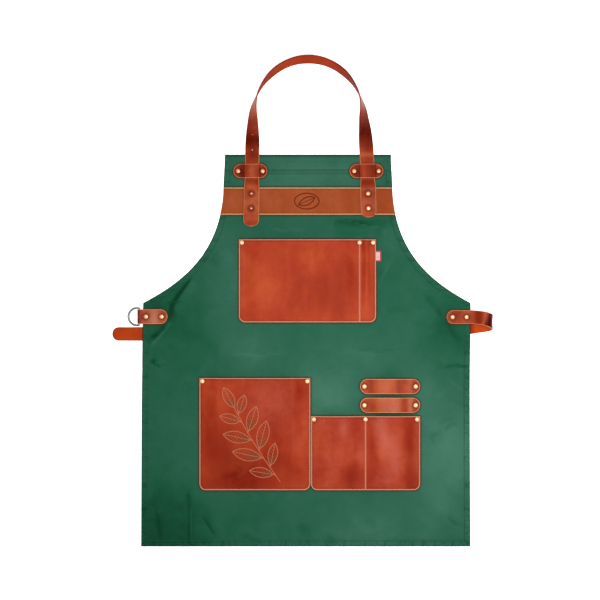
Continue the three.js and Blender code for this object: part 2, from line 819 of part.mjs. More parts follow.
function ringTab(holes) {
  const foldRadius = ringWire / 2 + ringPlay + tabThickness / 2;
  const end = tabEdgeX + tabReach;
  const round = tabWidth / 2;
  const sideways = new THREE.Vector3(0, 1, 0);
  const station = (x, z, along, fromEnd) => ({
    middle: new THREE.Vector3(x, tabY, z),
    across: sideways,
    normal: new THREE.Vector3().crossVectors(along, sideways),
    half: fromEnd < round ? roundedHalf(tabWidth / 2, fromEnd, round) : tabWidth / 2,
  });
  const stations = [];
  const leftward = new THREE.Vector3(-1, 0, 0);
  const rightward = new THREE.Vector3(1, 0, 0);
  for (const step of roundSteps(round)) {
    stations.push(station(end - step, tabBackZ, leftward, step));
  }
  stations.push(station(tabEdgeX + tabFoldInset, tabBackZ, leftward, tabReach));
  for (let angle = 270; angle >= 90; angle -= 30) {
    const turn = radians(angle);
    const x = barX + foldRadius * Math.cos(turn);
    const z = barZ + foldRadius * Math.sin(turn);
    const along = new THREE.Vector3(Math.sin(turn), 0, -Math.cos(turn));
    stations.push(station(x, z, along, tabReach));
  }
  stations.push(station(tabEdgeX + tabFoldInset, tabFrontZ, rightward, tabReach));
  for (const step of roundSteps(round).reverse()) {
    stations.push(station(end - step, tabFrontZ, rightward, step));
  }
  addPiece("ring_tab", drilled(ribbon(stations, tabThickness), holes), strapLook);
}

// D-ring: round wire bent to a D, its bar in the fold of the tab and its bow resting on the floor

function dRing() {
  const line = [];
  const side = ringRadius;
  const bow = ringDepth - ringWire / 2 - ringRadius;
  for (let angle = -90; angle <= 0; angle += 45) {
    const turn = radians(angle);
    line.push(flat(-ringCorner + ringCorner * Math.cos(turn), -side + ringCorner * (1 + Math.sin(turn))));
  }
  for (let angle = 0; angle <= 90; angle += 45) {
    const turn = radians(angle);
    line.push(flat(-ringCorner + ringCorner * Math.cos(turn), side - ringCorner * (1 - Math.sin(turn))));
  }
  for (let angle = 90; angle <= 270; angle += 12) {
    const turn = radians(angle);
    line.push(flat(-bow + ringRadius * Math.cos(turn), ringRadius * Math.sin(turn)));
  }
  const points = [];
  const triangles = [];
  line.forEach((here, index) => {
    const before = line[(index + line.length - 1) % line.length];
    const after = line[(index + 1) % line.length];
    const along = after.clone().sub(before).normalize();
    for (let corner = 0; corner < ringSides; corner++) {
      const turn = (2 * Math.PI * corner) / ringSides;
      const out = (ringWire / 2) * Math.cos(turn);
      points.push(here.x + along.y * out, here.y - along.x * out, (ringWire / 2) * Math.sin(turn));
      const next = (index + 1) % line.length;
      const turned = (corner + 1) % ringSides;
      const a = index * ringSides + corner;
      const b = index * ringSides + turned;
      const c = next * ringSides + corner;
      const d = next * ringSides + turned;
      triangles.push(a, c, d, a, d, b);
    }
  });
  const ring = addPiece("d_ring", closedMesh(points, triangles), chromeLook);
  const drop = barZ - ringWire / 2;
  ring.rotation.y = -Math.asin(drop / (ringDepth - ringWire / 2));
  ring.position.set(barX, tabY, barZ);
}

function pocketLabel() {
  const left = chestPocket.left + chestPocket.width + gap;
  const top = chestPocket.bottom + chestPocket.depth - labelBelowMouth;
  const place = (row, column) => {
    const x = left + column * labelWidth;
    const y = top - labelHeight + (row * labelHeight) / 2;
    return [x, y, pieceSeat(x, y), pieceSeat(x, y) + labelThickness];
  };
  addPiece("pocket_label", slab(3, 2, place), labelLook);
}

// Rivets: a domed cap on the leather, a post through the layers and a flat cap behind them

function fastener(one, radius, height) {
  const under = one.seat + gap;
  const behind = one.back - gap;
  const cap = [
    flat(0, under + height),
    flat(0.62 * radius, under + 0.8 * height),
    flat(radius, under),
  ];
  const profile = [
    ...cap,
    flat(postRadius, under),
    flat(postRadius, behind),
    flat(backCapRadius, behind),
    flat(0.9 * backCapRadius, behind - backCapThickness),
    flat(0, behind - backCapThickness),
  ];
  const geometry = new THREE.LatheGeometry(profile.reverse(), capSides);
  geometry.rotateX(Math.PI / 2);
  const rivet = addPiece(one.name, geometry, brassLook);
  rivet.position.set(one.x, one.y, 0);
}

const fasteners = [];
const postHole = postRadius + gap;

function plan(name, x, y, through, seat, back, kind = "rivet") {
  fasteners.push({ name, x, y, through, seat, back, kind });
}

for (const pocket of pockets) {
  const y = pocket.bottom + pocket.depth - pocketRivetDrop;
  const right = pocket.left + pocket.width - pocketRivetInset;
  [pocket.left + pocketRivetInset, ...pocket.dividers, right].forEach((x, index) => {
    const seat = highestRound(x, y) + canvasFront + gap + panelThickness;
    const back = lowestRound(x, y) + hemFold;
    plan(`${pocket.name}_rivet_${index + 1}`, x, y, [pocket.name], seat, back);
  });
}
for (const piece of strips) {
  for (const side of [-1, 1]) {
    const x = piece.x + side * piece.rivetX;
    const seat = highestRound(x, piece.y) + canvasFront + gap + panelThickness;
    const name = `${piece.name}_rivet_${side < 0 ? 1 : 2}`;
    const underHem = piece.y > bodyHeight - topHem - backCapRadius;
    const back = lowestRound(x, piece.y) + (underHem ? 0 : hemFold);
    plan(name, x, piece.y, [piece.name], seat, back);
  }
}
[upperStudY, lowerStudY].forEach((y, index) => {
  const through = ["neck_strap", "chest_band"];
  const seat = strapOnBand + strapThickness / 2;
  plan(`neck_stud_${index + 1}`, xAtHeight(leftLeg, y), y, through, seat, hemFold, "stud");
  plan(`neck_rivet_${index + 1}`, xAtHeight(rightLeg, y), y, through, seat, hemFold);
});
[tabRivetNear, tabRivetFar].forEach((inset, index) => {
  const seat = tabFrontZ + tabThickness / 2;
  const back = tabBackZ - tabThickness / 2;
  plan(`tab_rivet_${index + 1}`, tabEdgeX + inset, tabY, ["ring_tab"], seat, back);
});
[waistRivetFar, waistRivetNear].forEach((inset, index) => {
  const x = edgeRight - inset;
  const inHem = inset < sideHem;
  const seat = waistSeat + strapThickness;
  const back = lowestRound(x, waistFrontY) + (inHem ? 0 : hemFold);
  plan(`waist_rivet_${index + 1}`, x, waistFrontY, ["waist_strap"], seat, back);
});

function holesIn(name) {
  const crossing = fasteners.filter((one) => name === "canvas_body" || one.through.includes(name));
  return crossing.map((one) => holeTool(one.x, one.y, one.seat - holeToolDrop, postHole));
}

canvasBody(holesIn("canvas_body"));
chestBand(holesIn("chest_band"));
for (const pocket of pockets) {
  pocketPanel(pocket, holesIn(pocket.name));
}
for (const piece of strips) {
  strip(piece, holesIn(piece.name));
}
neckStrap(holesIn("neck_strap"));
const waistRibbon = ribbon(waistStations(), strapThickness);
addPiece("waist_strap", drilled(waistRibbon, holesIn("waist_strap")), strapLook);
ringTab(holesIn("ring_tab"));
dRing();
pocketLabel();
for (const one of fasteners) {
  const ball = one.kind === "stud";
  const radius = ball ? studRadius : capRadius;
  const height = ball ? studHeight : capHeight;
  fastener(one, radius, height);
}

// The apron's origin is under the middle of its own box
apron.updateMatrixWorld(true);
const whole = new THREE.Box3().setFromObject(apron, true);
apron.position.set(-(whole.min.x + whole.max.x) / 2, -(whole.min.y + whole.max.y) / 2, -whole.min.z);

export default apron;
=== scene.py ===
"""Gardening apron of green canvas with red-brown leather, lying flat with its front up.

Lengths are millimetres on the apron's own flat plan: x from the middle of the canvas to the right,
y from the bottom hem to the neck, z up from the surface it lies on. to_frame() turns them into metres.
"""

import math

import bpy
import numpy as np
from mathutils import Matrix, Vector

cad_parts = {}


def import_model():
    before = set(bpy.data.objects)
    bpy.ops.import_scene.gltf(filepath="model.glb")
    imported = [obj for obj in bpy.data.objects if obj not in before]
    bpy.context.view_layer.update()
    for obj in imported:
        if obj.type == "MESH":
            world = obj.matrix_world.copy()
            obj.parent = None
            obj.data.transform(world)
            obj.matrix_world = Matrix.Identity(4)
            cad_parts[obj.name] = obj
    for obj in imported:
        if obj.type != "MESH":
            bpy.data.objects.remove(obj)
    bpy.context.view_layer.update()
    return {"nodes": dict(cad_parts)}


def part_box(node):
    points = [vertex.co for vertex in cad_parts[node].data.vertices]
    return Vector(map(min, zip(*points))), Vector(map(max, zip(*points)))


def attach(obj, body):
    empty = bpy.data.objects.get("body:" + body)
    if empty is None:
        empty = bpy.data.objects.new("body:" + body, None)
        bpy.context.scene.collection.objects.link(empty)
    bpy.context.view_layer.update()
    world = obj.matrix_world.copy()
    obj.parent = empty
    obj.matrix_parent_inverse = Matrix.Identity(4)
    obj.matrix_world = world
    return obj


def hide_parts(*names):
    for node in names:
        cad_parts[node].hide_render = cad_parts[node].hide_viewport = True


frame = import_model()

# Plan of the canvas
BODY_HEIGHT = 800
HEM_HALF_WIDTH = 336
HIP_HALF_WIDTH = 334
HIP_HEIGHT = 497
ARMHOLE_TOP = 724
CHEST_HALF_WIDTH = 172.5
BIB_HALF_WIDTH = 169.5
BIB_SHIFT = 4.5
ARMHOLE_UPPER_PULL = 134
ARMHOLE_UPPER_ANGLE = 3.4
ARMHOLE_LOWER_PULL = 79
ARMHOLE_LOWER_ANGLE = 61.5
SIDE_HEM = 12
BOTTOM_HEM = 12
TOP_HEM = 38

# Layers, and what lifts the cloth from behind
CLOTH = 1.2
CLOTH_FRONT = 2.4
GAP = 0.3
PANEL = 1.8
STRAP = 3.0
TAB = 2.0
RIDGE_LIFT = 3.3
RIDGE_HALF = 17
RIDGE_SHOULDER = 60
TAB_LIFT = 3.5
TAB_SHOULDER = 45
LIFT_MARGIN = 3
BIB_LIFT = 1.2
BIB_LIFT_FROM = 712
BIB_LIFT_LENGTH = 40
WAIST_LINE_LEFT = 434
WAIST_LINE_RIGHT = 447.5

# Leather panels
POCKET_CORNER = 13
POCKET_SEAM = 5
POCKET_RISE = 6
POCKET_SHOULDER = 28
SHOULDER_SHARE = 0.42
OPENING_SHARE = 0.55
POCKET_STITCH_INSET = 2.2
STITCH_PITCH = 3.1
STITCH_SKEW = 0.06
STITCH_PROUD = 0.2
THREAD_SINK = 0.15
EDGE_ROUND = 0.7
PANEL_UNDER = 0.05
SEAM_REACH = 1.6
SEAM_DEPTH = 0.3
PRESS_DEPTH = 0.3

# Neck strap
NECK_WIDTH = 29
NECK_END_WIDTH = 32
ARCH_HALF_WIDTH = 113
ARCH_RISE = 119
ARCH_FOOT = 75
ARCH_SHIFT = 5.3
LEFT_LEG_X = -111.5
RIGHT_LEG_X = 128.5
LEG_KNEE = 13
LEG_KNEE_IN = 2.5
# Painted light and shade along the neck strap, each (height on the plan, reach, strength): painted highlight
# above 0, painted shade below
LEFT_LEG_BANDS = ((905, 18, 0.5), (868, 14, -0.35), (829, 15, -0.85), (798, 8, -0.3), (746, 8, -0.3),
                  (700, 24, 0.3))
RIGHT_LEG_BANDS = ((905, 16, 0.45), (846, 32, -0.95), (800, 5, 0.5), (742, 8, -0.3), (730, 6, 0.25),
                   (696, 20, 0.3))
ARCH_BANDS = ((948, 26, -0.45),)
LOWER_STUD_Y = 690.5
STUD_PITCH = 30
ADJUSTING_HOLES = (4, 5)
ADJUSTING_HOLE_RADIUS = 1.0
STUD_HOLE_RADIUS = 3.4
LEFT_TAIL = 37
RIGHT_TAIL = 18.5
TAIL_ROUND = 13
KEEPER_Y = 766.5
NECK_TWIST_SHARE = (0, 0.33, 0.43, 0.5, 0.556, 0.66, 0.722, 0.79, 0.853, 0.917, 1)
NECK_TWIST_DEGREES = (122, 110, 97, 92, 85, 62, 50, 38, 24, 11, 0)

# Waist strap
WAIST_WIDTH = 28
WAIST_FRONT_Y = 468.5
WAIST_LOOP_REACH = 47
WAIST_LOOP_HEIGHT = 23
WAIST_INSET = 46.5
WAIST_TAIL_REACH = 60.5
WAIST_ROUND = 13
# Painted light and shade along the waist loop, each (place across, reach, strength), and where painted shade
# on the loop's outer bend begins
WAIST_BANDS = ((293, 5, 0.3), (308, 6, 0.0), (326, 10, 0.3), (342, 6, 0.2), (352, 5, -0.3), (364, 4, 0.4))
WAIST_SHADE_FROM = 366
WAIST_BEND = (
    (0.16, 0.0, 0.36),
    (0.42, 0.05, 0.68),
    (0.68, 0.14, 0.94),
    (0.86, 0.28, 0.97),
    (0.97, 0.44, 0.72),
    (0.98, 0.58, 0.4),
    (0.88, 0.7, 0.14),
    (0.66, 0.8, 0.03),
    (0.35, 0.9, 0.0),
)

# Creases of the cloth: points along each, height, width, and the side that bulges (1 is left of its run)
CREASES = (
    (((-236, 545), (-250, 528), (-262, 513), (-273, 495), (-278, 478), (-283, 462)), 2.8, 7, 1),
    (((-275, 455), (-286, 440), (-299, 427), (-316, 411)), 2.0, 7, -1),
    (((-236, 100), (-232, 60), (-234, -6)), 1.1, 9, -1),
    (((-311, 92), (-304, 50), (-296, 4)), 0.6, 12, 1),
    (((-212, 62), (-200, 42), (-184, 14)), 1.1, 10, 1),
    (((-318, 376), (-300, 366), (-286, 372)), 1.2, 6, 1),
    (((240, 512), (258, 488), (284, 456), (313, 406)), 0.8, 14, 1),
    (((252, 224), (268, 234), (284, 240), (296, 252)), 1.7, 7, -1),
    (((274, 361), (300, 369), (330, 366)), 1.3, 6, 1),
    (((288, 348), (304, 334), (322, 322)), 0.6, 9, -1),
    (((286, 60), (306, 44), (330, 40)), 1.2, 9, 1),
    (((62, 671), (92, 664), (128, 655), (166, 651)), 2.0, 9, -1),
    (((-74, 652), (-44, 647), (-8, 651)), 1.3, 8, -1),
    (((150, 528), (160, 552), (176, 580)), 1.4, 9, 1),
    (((-196, 588), (-180, 604), (-158, 612)), 1.1, 9, -1),
    (((96, 402), (150, 396), (210, 404)), 1.0, 13, 1),
    (((-160, 398), (-90, 392), (-30, 400)), 0.9, 12, -1),
)

# Painted shade along the creases, each (path, half width, depth): darker above 0, paler below, which is
# painted highlight
FOLD_LINES = (
    (((-234, 548), (-249, 529), (-261, 514), (-273, 496), (-277, 478), (-283, 461)), 3.4, 0.42),
    (((-286, 449), (-298, 438), (-314, 424)), 7.5, 0.3),
    (((-275, 457), (-287, 440), (-300, 426), (-313, 413)), 3.2, -0.22),
    (((-306, 382), (-314, 376)), 4.0, 0.3),
    (((248, 512), (268, 489), (291, 457), (318, 412)), 7.0, 0.08),
    (((284, 366), (308, 368), (333, 368)), 3.4, 0.2),
    (((252, 226), (270, 232), (288, 240), (306, 252)), 5.0, 0.16),
    (((270, 252), (286, 258), (300, 262)), 4.0, 0.12),
    (((-240, 112), (-236, 60), (-237, -4)), 4.2, 0.26),
    (((-128, 24), (-112, 18), (-96, 10)), 5.0, 0.12),
    (((-14, 46), (-4, 34), (10, 20)), 8.0, 0.12),
    (((44, 22), (58, 14), (66, 4)), 6.0, 0.14),
    (((122, 58), (136, 48), (142, 36)), 8.0, 0.1),
    (((62, 667), (92, 660), (128, 652), (160, 648)), 5.0, 0.2),
)

# Soft patches of painted light and shade, each (x, y, reach across, reach up, strength): paler above 0,
# darker below
CANVAS_TONE = 0.47
FOLD_SHADE = 0.85
CANVAS_PATCHES = (
    (39, 309, 75, 55, 0.42),
    (288, 187, 75, 115, 0.5),
    (-298, 33, 100, 85, -0.38),
    (-287, 483, 90, 90, -0.2),
    (-144, 523, 50, 110, 0.15),
    (0, 768, 160, 60, 0.28),
    (120, 775, 60, 36, 0.12),
    (294, 460, 70, 90, -0.24),
    (121, 391, 70, 40, 0.12),
    (111, 662, 60, 9, -0.3),
    (-110, 392, 62, 55, 0.18),
    (120, 38, 90, 45, 0.24),
    (160, 386, 60, 30, 0.12),
    (235, 322, 40, 40, 0.2),
    (150, 18, 60, 32, 0.14),
    (255, 40, 30, 40, 0.12),
    (-195, 45, 50, 45, -0.15),
)
CHEST_PATCHES = (
    (-92, 540, 34, 60, 0.28),
    (-72, 505, 22, 26, 0.3),
    (12, 579, 5, 22, 0.4),
    (45, 510, 30, 32, -0.28),
    (84, 566, 22, 40, -0.2),
    (-30, 560, 18, 20, -0.15),
    (124, 505, 12, 60, 0.5),
)
LOWER_LEFT_PATCHES = (
    (-170, 212, 45, 48, -0.55),
    (-127, 158, 62, 34, -0.6),
    (-135, 128, 85, 24, -0.55),
    (-72, 297, 48, 42, 0.35),
    (-21, 206, 14, 32, 0.25),
    (-9, 316, 9, 20, -0.35),
    (-45, 176, 26, 22, -0.3),
    (-190, 300, 14, 26, -0.15),
)
LOWER_RIGHT_PATCHES = (
    (213, 205, 13, 50, -0.6),
    (216, 128, 16, 30, -0.5),
    (97, 148, 26, 24, -0.5),
    (134, 204, 8, 26, -0.4),
    (76, 240, 9, 20, 0.45),
    (112, 186, 9, 34, 0.3),
    (152, 246, 15, 30, 0.6),
    (166, 212, 17, 26, 0.6),
    (184, 172, 17, 30, 0.55),
    (160, 140, 16, 18, 0.3),
    (228, 232, 8, 30, 0.3),
    (60, 160, 20, 34, 0.2),
    (40, 250, 12, 20, 0.2),
)

canvas_low, canvas_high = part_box("canvas_body")
PLAN_ORIGIN = np.array([(canvas_low.x + canvas_high.x) / 2, canvas_low.y, canvas_low.z])


def to_frame(points):
    return np.asarray(points, float) / 1000 + PLAN_ORIGIN


def plan_box(node):
    low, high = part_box(node)
    return (np.array(low) - PLAN_ORIGIN) * 1000, (np.array(high) - PLAN_ORIGIN) * 1000


def plan_centre(node):
    low, high = plan_box(node)
    return (low[:2] + high[:2]) / 2


def smooth(value):
    t = np.clip(value, 0, 1)
    return t * t * (3 - 2 * t)


def lerp(a, b, t):
    return a + (b - a) * t


def unit(vectors):
    return vectors / np.linalg.norm(vectors, axis=-1, keepdims=True)


def path_lengths(path):
    """How far along a path each of its points is."""
    return np.concatenate([[0], np.cumsum(np.linalg.norm(np.diff(path, axis=0), axis=1))])


def points_at(path, lengths, at):
    return np.stack([np.interp(at, lengths, column) for column in path.T], -1)


def heading_at(path, lengths, at, reach):
    return unit(points_at(path, lengths, at + reach) - points_at(path, lengths, at - reach))


def armhole_points():
    upper, lower = math.radians(ARMHOLE_UPPER_ANGLE), math.radians(ARMHOLE_LOWER_ANGLE)
    start = np.array([CHEST_HALF_WIDTH, ARMHOLE_TOP])
    end = np.array([HIP_HALF_WIDTH, HIP_HEIGHT])
    pull_a = start + ARMHOLE_UPPER_PULL * np.array([math.sin(upper), -math.cos(upper)])
    pull_b = end + ARMHOLE_LOWER_PULL * np.array([-math.sin(lower), math.cos(lower)])
    t = np.linspace(0, 1, 200)[:, None]
    curve = (1 - t) ** 3 * start + 3 * (1 - t) ** 2 * t * pull_a
    return (curve + 3 * (1 - t) * t**2 * pull_b + t**3 * end)[::-1]


ARMHOLE = armhole_points()


def half_width(y):
    y = np.asarray(y, float)
    skirt = lerp(HEM_HALF_WIDTH, HIP_HALF_WIDTH, y / HIP_HEIGHT)
    arm = np.interp(y, ARMHOLE[:, 1], ARMHOLE[:, 0])
    bib = lerp(CHEST_HALF_WIDTH, BIB_HALF_WIDTH, smooth((y - ARMHOLE_TOP) / (BODY_HEIGHT - ARMHOLE_TOP)))
    return np.where(y < HIP_HEIGHT, skirt, np.where(y < ARMHOLE_TOP, arm, bib))


def body_centre(y):
    return BIB_SHIFT * smooth((np.asarray(y, float) - 0.5 * HIP_HEIGHT) / (ARMHOLE_TOP - 0.5 * HIP_HEIGHT))


def waist_line_y(x):
    return lerp(WAIST_LINE_LEFT, WAIST_LINE_RIGHT, (np.asarray(x) + HIP_HALF_WIDTH) / (2 * HIP_HALF_WIDTH))


def plateau(distance, inner, shoulder):
    return 1 - smooth((distance - inner) / shoulder)


def bell(distance, reach):
    return np.exp(-((distance / reach) ** 2))


tab_low, tab_high = plan_box("ring_tab")
TAB_Y = (tab_low[1] + tab_high[1]) / 2


def along_path(x, y, path):
    """Signed distance to a path (positive on its left) and the share of its length, for arrays x and y."""
    path = np.asarray(path, float)
    starts = path_lengths(path)
    best = np.full(np.shape(x), 1e9)
    side = np.zeros(np.shape(x))
    share = np.zeros(np.shape(x))
    for start, a, b in zip(starts, path[:-1], path[1:]):
        run = unit(b - a)
        s = np.clip((x - a[0]) * run[0] + (y - a[1]) * run[1], 0, np.linalg.norm(b - a))
        dx, dy = x - a[0] - s * run[0], y - a[1] - s * run[1]
        distance = np.hypot(dx, dy)
        nearer = distance < best
        best = np.where(nearer, distance, best)
        side = np.where(nearer, np.sign(run[0] * dy - run[1] * dx), side)
        share = np.where(nearer, (start + s) / starts[-1], share)
    return best * side, share


FOLD_FADE = 0.12
FOLD_END = 0.35


# Painted crease shade: dark bands along the fold paths
def painted_crease_shade(x, y):
    total = np.zeros(np.shape(x))
    for path, half, depth in FOLD_LINES:
        distance, share = along_path(x, y, path)
        fading = smooth(np.minimum(share, 1 - share) / FOLD_FADE + FOLD_END)
        total = total + depth * fading * bell(distance, half)
    return total


def patches(x, y, spots):
    total = np.zeros(np.shape(x))
    for at_x, at_y, reach_x, reach_y, strength in spots:
        total = total + strength * np.exp(-(((x - at_x) / reach_x) ** 2) - ((y - at_y) / reach_y) ** 2)
    return total


def stripes(x, spots):
    """Painted light and shade as paler and darker bands across a strap, each (place, reach, strength)."""
    total = np.zeros(np.shape(x))
    for place, reach, strength in spots:
        total = total + strength * bell(x - place, reach)
    return total


CREASE_DIP = 0.25
CREASE_DIP_FADE = 3
CREASE_END_POWER = 0.6


def creases(x, y):
    """Folds of the cloth: each rises from a shallow dip along its line and runs out softly on one side."""
    rise = np.zeros(np.shape(x))
    for path, height, width, bulge in CREASES:
        distance, share = along_path(x, y, path)
        d = distance * bulge / width
        side = np.where(d > 0, d * np.exp(1 - np.clip(d, 0, 20)), 0)
        dip = -CREASE_DIP * np.exp(-np.minimum(CREASE_DIP_FADE * np.abs(d), 20))
        reach = np.clip(np.sin(math.pi * np.clip(share, 0, 1)), 0, 1) ** CREASE_END_POWER
        rise = rise + height * (side + dip) * reach
    return rise


WAVE_SEED = 7
WAVE_COUNT = 26
WAVE_LENGTHS = (55, 210)
WAVE_FLATNESS = 1400
WAVE_SHARE = 0.55


def waves(x, y):
    """Low soft waves of cloth that was folded once and lies almost flat."""
    dice = np.random.default_rng(WAVE_SEED)
    total = np.zeros(np.shape(x))
    for _ in range(WAVE_COUNT):
        length = dice.uniform(*WAVE_LENGTHS)
        angle = dice.uniform(0, math.pi)
        phase = dice.uniform(0, 2 * math.pi)
        size = length / WAVE_FLATNESS
        turned = x * math.cos(angle) + y * math.sin(angle)
        total = total + size * np.sin(turned * 2 * math.pi / length + phase)
    return total * WAVE_SHARE


def cloth_lift(x, y):
    x, y = np.asarray(x, float), np.asarray(y, float)
    ridge = RIDGE_LIFT * plateau(np.abs(y - waist_line_y(x)), RIDGE_HALF, RIDGE_SHOULDER)
    over_tab = plateau(x - tab_high[0], LIFT_MARGIN, TAB_SHOULDER)
    tab_half = (tab_high[1] - tab_low[1]) / 2
    over_tab = over_tab * plateau(np.abs(y - TAB_Y), tab_half + LIFT_MARGIN, TAB_SHOULDER)
    bib = BIB_LIFT * smooth((y - BIB_LIFT_FROM) / BIB_LIFT_LENGTH)
    return lerp(ridge, TAB_LIFT, over_tab) + bib


LEATHER_NODES = ("chest_band", "chest_pocket", "lower_left_pocket", "lower_right_pocket",
                 "upper_tool_loop", "lower_tool_loop", "left_keeper", "right_keeper", "ring_tab")
OPEN_FADE = 22


def rounded_box(x, y, middle, half, corner):
    """Signed distance to a rectangle with round corners, below 0 inside it."""
    out_x = np.abs(x - middle[0]) - half[0] + corner
    out_y = np.abs(y - middle[1]) - half[1] + corner
    outside = np.hypot(np.maximum(out_x, 0), np.maximum(out_y, 0))
    return outside + np.minimum(np.maximum(out_x, out_y), 0) - corner


def beside_leather(x, y):
    """Distance in millimetres from the leather lying on the cloth, below 0 under it."""
    strap_middle = (HIP_HALF_WIDTH + WAIST_INSET, WAIST_FRONT_Y)
    strap_half = (2 * WAIST_INSET, WAIST_WIDTH / 2)
    least = rounded_box(x, y, strap_middle, strap_half, WAIST_ROUND)
    for node in LEATHER_NODES:
        low, high = plan_box(node)
        middle, half = (low + high) / 2, (high - low) / 2
        if node.endswith("_pocket"):
            corner = np.where(y < middle[1], POCKET_CORNER, 0.0)
        else:
            corner = 0.0 if node == "chest_band" else half[1]
        least = np.minimum(least, rounded_box(x, y, middle, half, corner))
    return least


def openness(x, y):
    """1 on open cloth, falling to 0 where leather lies on it."""
    return smooth(beside_leather(x, y) / OPEN_FADE)


def cloth_relief(x, y):
    return (creases(x, y) + 0.8 * np.clip(waves(x, y), -1, 3)) * openness(x, y)


def seat(x, y):
    """Where leather lies on the cloth: the cloth's front without its own small waves."""
    return cloth_lift(x, y) + CLOTH_FRONT


# Meshes

def mesh_object(name, points, faces, attributes=None, sharp=40):
    points = to_frame(points).astype(np.float32)
    faces = np.asarray(faces, np.int32)
    mesh = bpy.data.meshes.new(name)
    mesh.vertices.add(len(points))
    mesh.vertices.foreach_set("co", points.ravel())
    corners = faces.shape[1]
    mesh.loops.add(faces.size)
    mesh.loops.foreach_set("vertex_index", faces.ravel())
    mesh.polygons.add(len(faces))
    mesh.polygons.foreach_set("loop_start", np.arange(len(faces), dtype=np.int32) * corners)
    mesh.update(calc_edges=True)
    mesh.validate()
    for key, values in (attributes or {}).items():
        made = mesh.attributes.new(key, "FLOAT", "POINT")
        made.data.foreach_set("value", np.asarray(values, np.float32).ravel())
    mesh.shade_smooth()
    mesh.set_sharp_from_angle(angle=math.radians(sharp))
    piece = bpy.data.objects.new(name, mesh)
    bpy.context.scene.collection.objects.link(piece)
    return piece


def slab(name, x, y, low, high, attributes=None, sharp=60):
    """A sheet over a grid of plan points, with its underside and its top."""
    rows, columns = x.shape
    count = rows * columns
    index = np.arange(count).reshape(rows, columns)
    a, b, c, d = index[:-1, :-1], index[:-1, 1:], index[1:, 1:], index[1:, :-1]
    top = np.stack([a, b, c, d], -1).reshape(-1, 4)
    bottom = np.stack([a, d, c, b], -1).reshape(-1, 4) + count
    rim = np.concatenate([index[0, :-1], index[:-1, -1], index[-1, :0:-1], index[:0:-1, 0]])
    onward = np.roll(rim, -1)
    side = np.stack([rim + count, onward + count, onward, rim], -1)
    points = np.concatenate([np.stack([x, y, z], -1).reshape(-1, 3) for z in (high, low)])
    doubled = {key: np.concatenate([np.ravel(v), np.ravel(v)]) for key, v in (attributes or {}).items()}
    return mesh_object(name, points, np.concatenate([top, bottom, side]), doubled, sharp)


def arc_drop(edge, radius):
    """How far a rounded edge has turned down, from the distance to the edge."""
    inside = np.clip(radius - edge, 0, radius)
    return radius - np.sqrt(radius**2 - inside**2)


EDGE_STEPS = (0, 0.08, 0.3, 0.7, 1.4)


def span(width, step):
    """Distances across a piece, close together near its two edges."""
    middle = np.linspace(EDGE_STEPS[-1], width - EDGE_STEPS[-1], max(3, int(width / step)))
    return np.concatenate([EDGE_STEPS[:-1], middle, width - np.array(EDGE_STEPS[:-1])[::-1]])


def finish_piece(piece, material, body, slot, *nodes):
    for one in material if isinstance(material, (list, tuple)) else [material]:
        piece.data.materials.append(one)
    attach(piece, body)
    if nodes:
        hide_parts(*nodes)


# Materials

LIGHT_SHARE = 0.47


def paint(code, share=LIGHT_SHARE):
    """A colour from its usual six-figure code, in linear light and dimmed to a share of itself."""
    parts = [int(code[k : k + 2], 16) / 255 for k in (0, 2, 4)]
    return (*(share * (p / 12.92 if p <= 0.04045 else ((p + 0.055) / 1.055) ** 2.4) for p in parts), 1)


class Value:
    """A node's output, with which sums are written as sums."""

    def __init__(self, nodes, socket):
        self.nodes = nodes
        self.socket = socket

    def __add__(self, other):
        return self.nodes.math("ADD", self, other)

    def __sub__(self, other):
        return self.nodes.math("SUBTRACT", self, other)

    def __rsub__(self, other):
        return self.nodes.math("SUBTRACT", other, self)

    def __mul__(self, other):
        return self.nodes.math("MULTIPLY", self, other)

    def __abs__(self):
        return self.nodes.math("ABSOLUTE", self)


